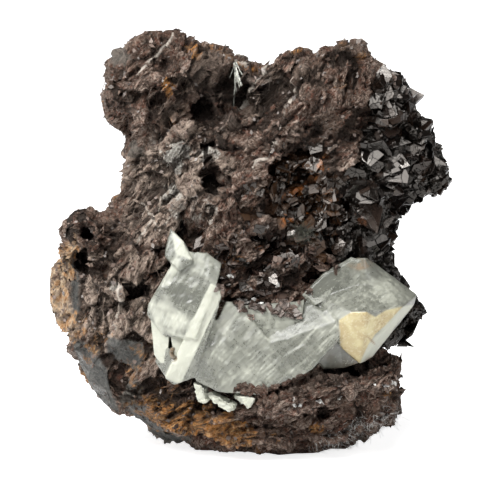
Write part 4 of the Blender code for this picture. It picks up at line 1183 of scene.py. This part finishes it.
def wedge(outline, front, back):
    """A crystal with the outline (u, v), its front at the depth given for each corner, and a flat back."""
    sides = len(outline)
    middle = np.mean(outline, axis=0)
    rings = []
    for inset, out in ((0.9, 0.0), (1.0, 0.3), (1.0, None)):
        for (u, v), depth in zip(outline, front):
            u, v = middle + (np.array((u, v)) - middle) * inset
            rings.append(at(u, v, back if out is None else depth + out))
    return mesh_of("wedge", np.array(rings), ringed(sides)[:, (0, 2, 1)])


FILLS = {  # outline, the depth of its front at each corner, milk, clear and brown
    "calcite_fill": (  # in the shade between the middle crystal and the right one
        ((14.4, 21.4), (11.4, 18.4), (10.9, 14.6), (12.2, 13.4), (15.6, 13.6), (18.0, 14.4), (15.2, 17.2)),
        (-17.6, -18.0, -17.0, -16.4, -15.4, -15.2, -17.4), 0.3, 0.55, 0.25,
    ),
    "calcite_fill_high": (  # in the notch between the left crystals and the right ones
        ((-1.8, 24.2), (2.0, 21.0), (5.4, 23.2), (9.0, 25.0), (8.6, 21.6), (3.6, 17.4), (0.4, 19.8)),
        (-16.6, -15.8, -15.5, -15.5, -16.6, -17.4, -17.2), 0.42, 0.2, 0.0,
    ),
    "calcite_fill_left": (  # under the left crystal, on each side of a slit
        ((-16.5, 22.0), (-13.3, 19.4), (-13.5, 17.0), (-13.7, 14.0), (-14.9, 14.2), (-15.9, 15.8)),
        (-16.4, -17.2, -17.4, -17.4, -16.8, -16.4), 0.85, 0.0, 0.0,
    ),
    "calcite_fill_bar": (
        ((-13.3, 19.6), (-10.4, 18.8), (-11.4, 16.6), (-12.4, 14.4), (-12.8, 16.6)),
        (-17.4, -17.8, -17.8, -17.6, -17.4), 0.9, 0.0, 0.0,
    ),
    "calcite_fill_right": (  # the right crystal's left corner
        ((8.6, 25.7), (12.6, 29.7), (16.8, 32.0), (18.4, 31.4), (14.4, 27.6), (12.7, 24.7), (10.6, 23.7)),
        (-14.1, -13.4, -12.7, -12.5, -13.6, -14.4, -14.9), 0.36, 0.4, 0.0,
    ),
}


def calcite_fill(outline, front, milk, clear, brown):
    mesh = wedge(outline, front, -12.6)
    set_vector(mesh, "way", points_of(mesh) / MM)
    set_values(mesh, milk=milk, cream=0, clear=clear, brown=brown)
    return mesh


def calcite_chip(node):
    mesh = fine_copy(node, CHIP_VOXEL, 1)
    points = points_of(mesh)
    steps, _ = facets(points / MM, (1.0, 0.8, 0.8), 0.3, 0.12, 31)
    set_points(mesh, kept_in(points + normals_of(mesh) * (steps * MM)[:, None]))
    set_vector(mesh, "way", points / MM)
    set_values(mesh, milk=0.95, cream=0, clear=0, brown=0)
    return mesh


def straight(roots, tips, steps=3):
    share = np.linspace(0, 1, steps)[None, :, None]
    return roots[:, None, :] * (1 - share) + tips[:, None, :] * share


def spray(chance):
    """Straight needles hanging from the plate over the cavity."""
    root = np.array(at(-2.5, 64.2, -9.2))
    bundles = (  # tip, how many and how far they spread
        ((-2.6, 59.0, -10.6), 4, 0.14),
        ((-1.9, 59.6, -10.8), 3, 0.14),
        ((-0.9, 61.6, -10.6), 2, 0.2),
        ((-3.2, 61.6, -10.4), 1, 0.1),
        ((-2.7, 56.9, -9.9), 1, 0.03),
        ((-1.3, 60.4, -10.8), 2, 0.2),
    )
    roots, tips = [], []
    for tip, count, spread in bundles:
        for _ in range(count):
            roots.append(root + chance.normal(0, 0.12, 3) * MM)
            reach = chance.uniform(0.72, 1.0) if count > 1 else 1.0
            end = np.array(at(*tip)) + chance.normal(0, spread, 3) * MM
            tips.append(roots[-1] + (end - roots[-1]) * reach)
    widths = chance.uniform(0.11, 0.2, len(roots))
    return hairs("zinkenite_needles", straight(np.array(roots), np.array(tips)), widths, chance)


def tangled(points, normals, chance, length, bend, stand):
    """Curved fibres growing from the points."""
    count = len(points)
    way = unit(normals * stand + chance.normal(0, 1, (count, 3)))
    curl = chance.normal(0, 1, (count, 3))
    long = chance.uniform(length[0], length[1], count)
    steps = 6
    share = np.linspace(0, 1, steps)[None, :, None]
    paths = points[:, None, :] + way[:, None, :] * (long[:, None, None] * share) * MM
    return paths + curl[:, None, :] * (share**2) * bend * long[:, None, None] * MM


# Where white bits lie on the ledge and in the notch, and blades catch the light, as in PATCHES.
WHITE_BITS = (
    (7.7, 6.8, 0.9, 0.8, 0, 1), (9.8, 7.5, 0.5, 0.4, 0, 1), (11.7, 8.2, 0.5, 0.4, 0, 1),
    (15, 8.7, 0.6, 0.4, 0, 1), (22.8, 10.8, 2.4, 0.4, 6, 1),
)
NOTCH_BITS = (
    (1.2, 30.2, 0.5, 0.4, 0, 1), (1.5, 27.9, 0.5, 0.4, 0, 1), (2.2, 26.7, 0.5, 0.4, 0, 1),
    (5, 26.7, 0.6, 0.5, 0, 1), (-1.7, 27.5, 0.5, 0.9, 0, 1), (0.5, 25.2, 0.6, 0.9, 0, 1),
    (2.2, 23, 0.6, 0.7, 0, 1), (-2.6, 29.4, 1.2, 0.7, 0, 1),
)
# painted highlight: the blades there are given the lighter brown paint where they catch the light
LIT_EDGES = ((25.8, 60.2, 1.6, 2.6, 40, 1), (32.6, 47, 1.2, 4.5, 10, 1), (21.6, 66, 1.6, 1.2, 0, 1))
FIBROUS = (  # where pale strands lie along the grain
    (-22, 24, 6, 9, 0, 1), (-15, 38, 6, 7, 40, 0.8), (-13, 47, 6, 5, 20, 0.7), (-18, 60, 7, 7, 0, 0.6),
    (8, 58, 8, 8, 0, 0.6), (-2, 40, 7, 7, 0, 0.4), (2, 8, 24, 5, 0, 0.55),
)


def strands(rock, chance, count):
    """Thin strands lying on the rock along its grain."""

    def fibrous(places, normals):
        return patch_mask(FIBROUS, places) * on_rock(places) * (places[:, 2] < 0)

    nearest = tree_of(rock)
    points, normals = scattered(rock, count, chance, fibrous)
    axes = leaning(points, normals, chance, 0, 0.1, 0.25)
    way, side = axes[:, :, 0], axes[:, :, 1]
    long = chance.uniform(1.2, 4.5, count)
    curl = chance.normal(0, 0.5, count)
    paths = np.zeros((count, STRAND_STEPS, 3))
    for i in range(STRAND_STEPS):
        share = i / (STRAND_STEPS - 1) - 0.5
        free = points + (way * (share * long)[:, None] + side * (curl * (share**2 - 0.1))[:, None]) * MM
        for j in range(count):
            place, normal, _, _ = nearest.find_nearest(free[j])
            paths[j, i] = place + normal * 0.04 * MM
    return as_rock(hairs("strands", paths, chance.uniform(0.06, 0.16, count), chance))


def rock_pieces(chance, brown, brown_gloss):
    front = stone(STONE_VOXEL, 3, -99, FRONT_END)
    back = stone(BACK_VOXEL, 1, BACK_START, 99)
    high = points_of(front)[:, 2] > HIGH_START * MM
    parts = (part_of(front, "low", ~high), part_of(front, "high", high), back)
    for name, mesh in zip(("rock_front_low", "rock_front_high", "rock_back"), parts):
        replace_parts(piece(name, mesh, brown, "host_rock", smooth=True), "host_rock")
    rock = joined("surface", (front, back))
    grains = stone_grains(rock, lens_form(4), chance, 6000, (0.2, 0.2, 0.2), 0.9, (0.18, 0.4), (0.12, 0.22))
    piece("siderite_grains", grains, brown, "host_rock")
    flakes = stone_grains(rock, plate_form(4), chance, 1100, (0.25, 0.25, 0.4), 1.5, (0.3, 0.55), (0.3, 0.5))
    piece("siderite_flakes", flakes, brown, "host_rock")
    piece("siderite_strands", strands(rock, chance, 1150), brown, "host_rock")
    placed = growing(chance, rock, 3600, on_rock, 0.4, 0.4, (0.85, 0.5, 0.4), 0.4, out=-0.02)
    glints = with_glow(copies("glints", plate_form(4), *placed, chance, 0.25))
    piece("siderite_glints", glints, brown_gloss, "host_rock")

    def neck_edge(places, normals):
        return in_patch(places, -20.4, 46.6, 3.0, 6.4, 0) * (normals[:, 0] < -0.4)

    def ledge_crest(places, normals):
        return in_patch(places, 5.0, 9.6, 8.0, 1.7, 14) * (places[:, 2] < -17.2)

    grown("siderite_leaves", "host_rock", brown, chance, 1, rock, 50, neck_edge, 1.2, 0.25, (2.2, 1.8, 0.3),
          out=-0.5, like_rock=True)
    grown("siderite_crest", "host_rock", brown, chance, 2, rock, 60, ledge_crest, 1.2, 0.3, (2.3, 1.7, 0.6),
          0.2, out=0.5, like_rock=True)
    return rock


def blade_pieces(chance, rock, brown_gloss):
    glow = (0.06, 0.02, 0.006)
    dark = blade_paint("glossy_siderite", (0.004, 0.003, 0.0025), (0.016, 0.009, 0.006), glow, 0.06, 0.28)
    amber = blade_paint("amber_siderite", (0.007, 0.0035, 0.002), (0.036, 0.017, 0.0075),
                        (0.20, 0.062, 0.010), 0.12, 0.36)
    shade = blade_paint("shaded_siderite", (0.003, 0.0025, 0.002), (0.017, 0.011, 0.008), glow,
                        0.12, 0.38, 0.35)
    skin = blades_skin()
    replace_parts(piece("blade_base", skin, shade, "siderite_blades"), "siderite_blades")

    def outward(places, normals):
        ahead = step(-places[:, 2], -9, -2) * (normals[:, 1] < 0.6) + 0.15
        return ahead * off_rhomb(places) * step(edge_room(places), 0.2, 1.6)

    def lit_edges(places, normals):
        return patch_mask(LIT_EDGES, places)

    solid = tree_of(skin)
    grown("siderite_blade_groups", "siderite_blades", dark, chance, 9, skin, 225, outward, 0.25, 0.25,
          (4.8, 3.7, 0.9), 0.55, out=0.3, sink=0.4, solid=solid, reach=1.1)
    grown("siderite_blades_single", "siderite_blades", dark, chance, 2, skin, 150, outward, 0.7, 0.5,
          (1.8, 1.2, 0.4), 0.25, out=0.0, sink=0.5, solid=solid, reach=0.8)
    # painted highlight: these blades take the lighter brown paint, where the dark blades catch the light
    grown("siderite_blades_lit", "siderite_blades", brown_gloss, chance, 3, skin, 34, lit_edges, 0.5, 0.4,
          (2.2, 1.4, 0.5), 0.4, sink=0.8)

    crust = fine_copy("siderite_crust", CRUST_VOXEL, 1)
    broken = facets(points_of(crust) / MM, (1.7, 1.3, 1.4), 0.5, 0.3, 18)[0] - 0.15
    set_points(crust, kept_in(points_of(crust) + normals_of(crust) * (broken * MM)[:, None]))
    set_values(crust, chance=0.4 + 0.5 * waves(points_of(crust) / MM, 1.5, 19))
    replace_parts(piece("amber_base", crust, amber, "siderite_crust"), "siderite_crust")

    def ahead(places, normals):
        return (places[:, 2] < -8) * 1.0

    def inside(*patches):
        def density(places, normals):
            near = sum(in_patch(places, *patch) for patch in patches)
            return near * step(-places[:, 2], 2, 6) * off_rhomb(places)

        return density

    hollow = inside((10.0, 40.5, 9.5, 8.5, 10), (17.0, 34.0, 5.0, 5.0, 0))
    above = inside((3.0, 32.0, 11.0, 5.0, 5), (3.0, 26.0, 4.6, 2.6, 0))
    for name, slot, paint, cells, *placing in (
        ("amber_blades", "siderite_crust", amber, 4, crust, 210, ahead, 0.6, 0.4, (2.5, 1.9, 0.5), 0.35, 0.3),
        ("hollow_blades", "siderite_crust", amber, 5, rock, 150, hollow, 0.4, 0.4, (2.8, 2.1, 0.6), 0.25),
        ("hollow_blades_brown", "host_rock", brown_gloss, 5, rock, 32, hollow, 0.4, 0.4, (2.6, 2, 0.6), 0.4),
        ("brown_blades", "host_rock", brown_gloss, 3, rock, 90, above, 0.5, 0.4, (2.7, 2.0, 0.4), 0.42),
        ("brown_blades_dark", "host_rock", dark, 3, rock, 120, above, 0.5, 0.4, (2.4, 1.8, 0.4), 0.3),
    ):
        grown(name, slot, paint, chance, cells, *placing)


# Lines where rock grows over the calcite: points (u, v), half width and rise.
LOWER_EDGE = (((-1.6, 10.4), (2.8, 9.5), (7, 10.9), (12, 13.6), (14.6, 14)), 0.55, 0)
NOTCH_EDGE = (((-5, 26.6), (-1.8, 24.2), (2, 21.1), (5.4, 23.1), (9, 25), (9.6, 26.6)), 0.45, 0)


def pale_pieces(chance, rock, brown, brown_gloss):
    cloudy = calcite_paint()
    crystals = calcite()
    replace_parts(piece("calcite_crystals", crystals, cloudy, "calcite", smooth=True), "calcite_rhombs")
    for i in (1, 2, 3):
        chip = piece(f"calcite_sliver_{i}", calcite_chip(f"calcite_chip_{i}"), cloudy, "calcite")
        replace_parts(chip, f"calcite_chip_{i}")
    for name, fill in FILLS.items():
        piece(name, calcite_fill(*fill), cloudy, "calcite")
    white = fibre_paint("white_fibres", 0.9, (0.4, 0.6), (0.22, 0.21, 0.20), (0.58, 0.58, 0.55), (0.35, 0.6),
                        ior=1.5)

    def edge(line):
        return lambda places, normals: line_mask((line,), places)[0] * (normals[:, 1] < -0.1)

    def bits(patches):
        return lambda places, normals: patch_mask(patches, places) * (places[:, 2] < 0)

    def on_ledge(places, normals):
        return in_patch(places, 18.0, 2.6, 8.5, 2.6, 22)

    rim = joined_triangles("rim", (crystals, bpy.data.meshes["calcite_fill_high"]))
    grown("siderite_on_edge", "host_rock", brown, chance, 2, crystals, 90, edge(LOWER_EDGE), 0.5, 0.4,
          (1.5, 1.0, 0.6), 0.1, out=0.0, like_rock=True)
    grown("siderite_on_notch", "host_rock", brown_gloss, chance, 2, rim, 60, edge(NOTCH_EDGE), 0.6, 0.5,
          (1.7, 1.2, 0.4), 0.2, out=0.1)
    grown("calcite_bits", "calcite", white, chance, 1, rock, 40, bits(WHITE_BITS), 0.5, 0.4,
          (1.0, 0.7, 0.4), 0.3)
    grown("calcite_bits_high", "calcite", white, chance, 1, rock, 14, bits(NOTCH_BITS), 0.5, 0.5,
          (1.2, 0.8, 0.4), 0.15, out=0.9)
    points, normals = scattered(rock, 900, chance, on_ledge)
    paths = tangled(points, normals, chance, (0.5, 1.5), 0.3, 0.8)
    lace = hairs("lace", paths, chance.uniform(0.05, 0.1, len(points)), chance)
    piece("white_fibres", lace, white, "calcite")


def needle_pieces(chance):
    metal = fibre_paint("zinkenite", 0.8, (0.35, 0.6), (0.06, 0.062, 0.055), (0.42, 0.42, 0.37), (0.25, 0.5),
                        metallic=0.75, ior=1.8)
    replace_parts(piece("zinkenite_needles", spray(chance), metal, "zinkenite"), "zinkenite_spray")
    middle = np.array(at(8.7, 36.0, -15.8))
    count = 240
    starts = middle + chance.normal(0, 1, (count, 3)) * np.array((1.0, 0.5, 0.8)) * MM * 0.8
    paths = tangled(starts, np.tile((0, -1.0, 0.2), (count, 1)), chance, (0.7, 1.9), 0.35, 0.5)
    grey = fibre_paint("zinkenite_felt", 0.6, (0.4, 0.7), (0.010, 0.011, 0.008), (0.085, 0.088, 0.062),
                       (0.3, 0.6), metallic=0.6, ior=1.8)
    felt = hairs("felt", paths, chance.uniform(0.05, 0.1, count), chance)
    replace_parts(piece("zinkenite_felt_fibres", felt, grey, "zinkenite"), "zinkenite_felt")


def main():
    chance = np.random.default_rng(SEED)
    brown = stone_paint()
    brown_gloss = blade_paint("brown_siderite", (0.024, 0.015, 0.012), (0.115, 0.08, 0.064),
                              (0.16, 0.07, 0.03), 0.2, 0.45)
    rock = rock_pieces(chance, brown, brown_gloss)
    blade_pieces(chance, rock, brown_gloss)
    pale_pieces(chance, rock, brown, brown_gloss)
    needle_pieces(chance)


main()


# Floor, light and camera


def two_strengths(tree, socket, lighting, shown):
    """One strength for the light that reaches the specimen, and another for what the camera sees."""
    path = tree.nodes.new("ShaderNodeLightPath")
    mix = tree.nodes.new("ShaderNodeMix")
    mix.inputs[2].default_value = lighting
    mix.inputs[3].default_value = shown
    tree.links.new(path.outputs["Is Camera Ray"], mix.inputs[0])
    tree.links.new(mix.outputs[0], socket)


def floor():
    side = 1.5
    points = np.array([(-side, -side, 0), (side, -side, 0), (side, side, 0), (-side, side, 0)])
    mesh = mesh_of("floor", points - (0, 0, LIFT * MM), np.array([(0, 1, 2, 3)]))
    paint = bpy.data.materials.new("floor")
    paint.use_nodes = True
    shader = paint.node_tree.nodes["Principled BSDF"]
    shader.inputs["Base Color"].default_value = (0.93, 0.93, 0.93, 1)
    shader.inputs["Roughness"].default_value = 0.8
    shader.inputs["Specular IOR Level"].default_value = 0.1
    shader.inputs["Emission Color"].default_value = (1, 1, 1, 1)
    two_strengths(paint.node_tree, shader.inputs["Emission Strength"], 0.18, 0.8)
    mesh.materials.append(paint)
    item = linked("floor", mesh)


def soft_light(name, azimuth, elevation, away, side, power):
    a, e = math.radians(azimuth), math.radians(elevation)
    light = bpy.data.lights.new(name, "AREA")
    light.shape = "RECTANGLE"
    light.size, light.size_y = side
    light.energy = power
    item = linked(name, light)
    way = Vector((math.sin(a) * math.cos(e), -math.cos(a) * math.cos(e), math.sin(e)))
    item.location = AIM + way * away
    item.rotation_euler = way.to_track_quat("Z", "Y").to_euler()


def surroundings():
    world = bpy.data.worlds.new("studio")
    world.use_nodes = True
    back = world.node_tree.nodes["Background"]
    two_strengths(world.node_tree, back.inputs["Strength"], 0.05, 1.0)
    back.inputs["Color"].default_value = (1, 1, 1, 1)
    bpy.context.scene.world = world


def camera():
    """A long lens at the photograph's angle, taking in its whole side."""
    away = 3.0
    width = PIXELS * PIXEL * MM
    data = bpy.data.cameras.new("camera")
    data.sensor_width = 36
    data.lens = data.sensor_width * away / width
    data.clip_end = 20
    item = linked("camera", data)
    middle = at(0, (GROUND_ROW - PIXELS / 2) * PIXEL, 0)
    item.location = middle + Vector((0, -math.cos(SIGHT_TILT), math.sin(SIGHT_TILT))) * away
    item.rotation_euler = Euler((math.pi / 2 - SIGHT_TILT, 0, 0))
    bpy.context.scene.camera = item


floor()
for name, azimuth, elevation, away, side, power in (
    ("top", -30, 52, 0.62, (0.6, 0.5), 7.7),
    ("left", -68, 26, 0.6, (0.25, 0.5), 1.5),
    ("right", 72, 24, 0.6, (0.2, 0.5), 1.2),
    ("front", -50, 44, 0.7, (0.12, 0.12), 2.2),
):
    soft_light(name, azimuth, elevation, away, side, power)
surroundings()
camera()
bpy.context.scene.view_settings.view_transform = "Standard"
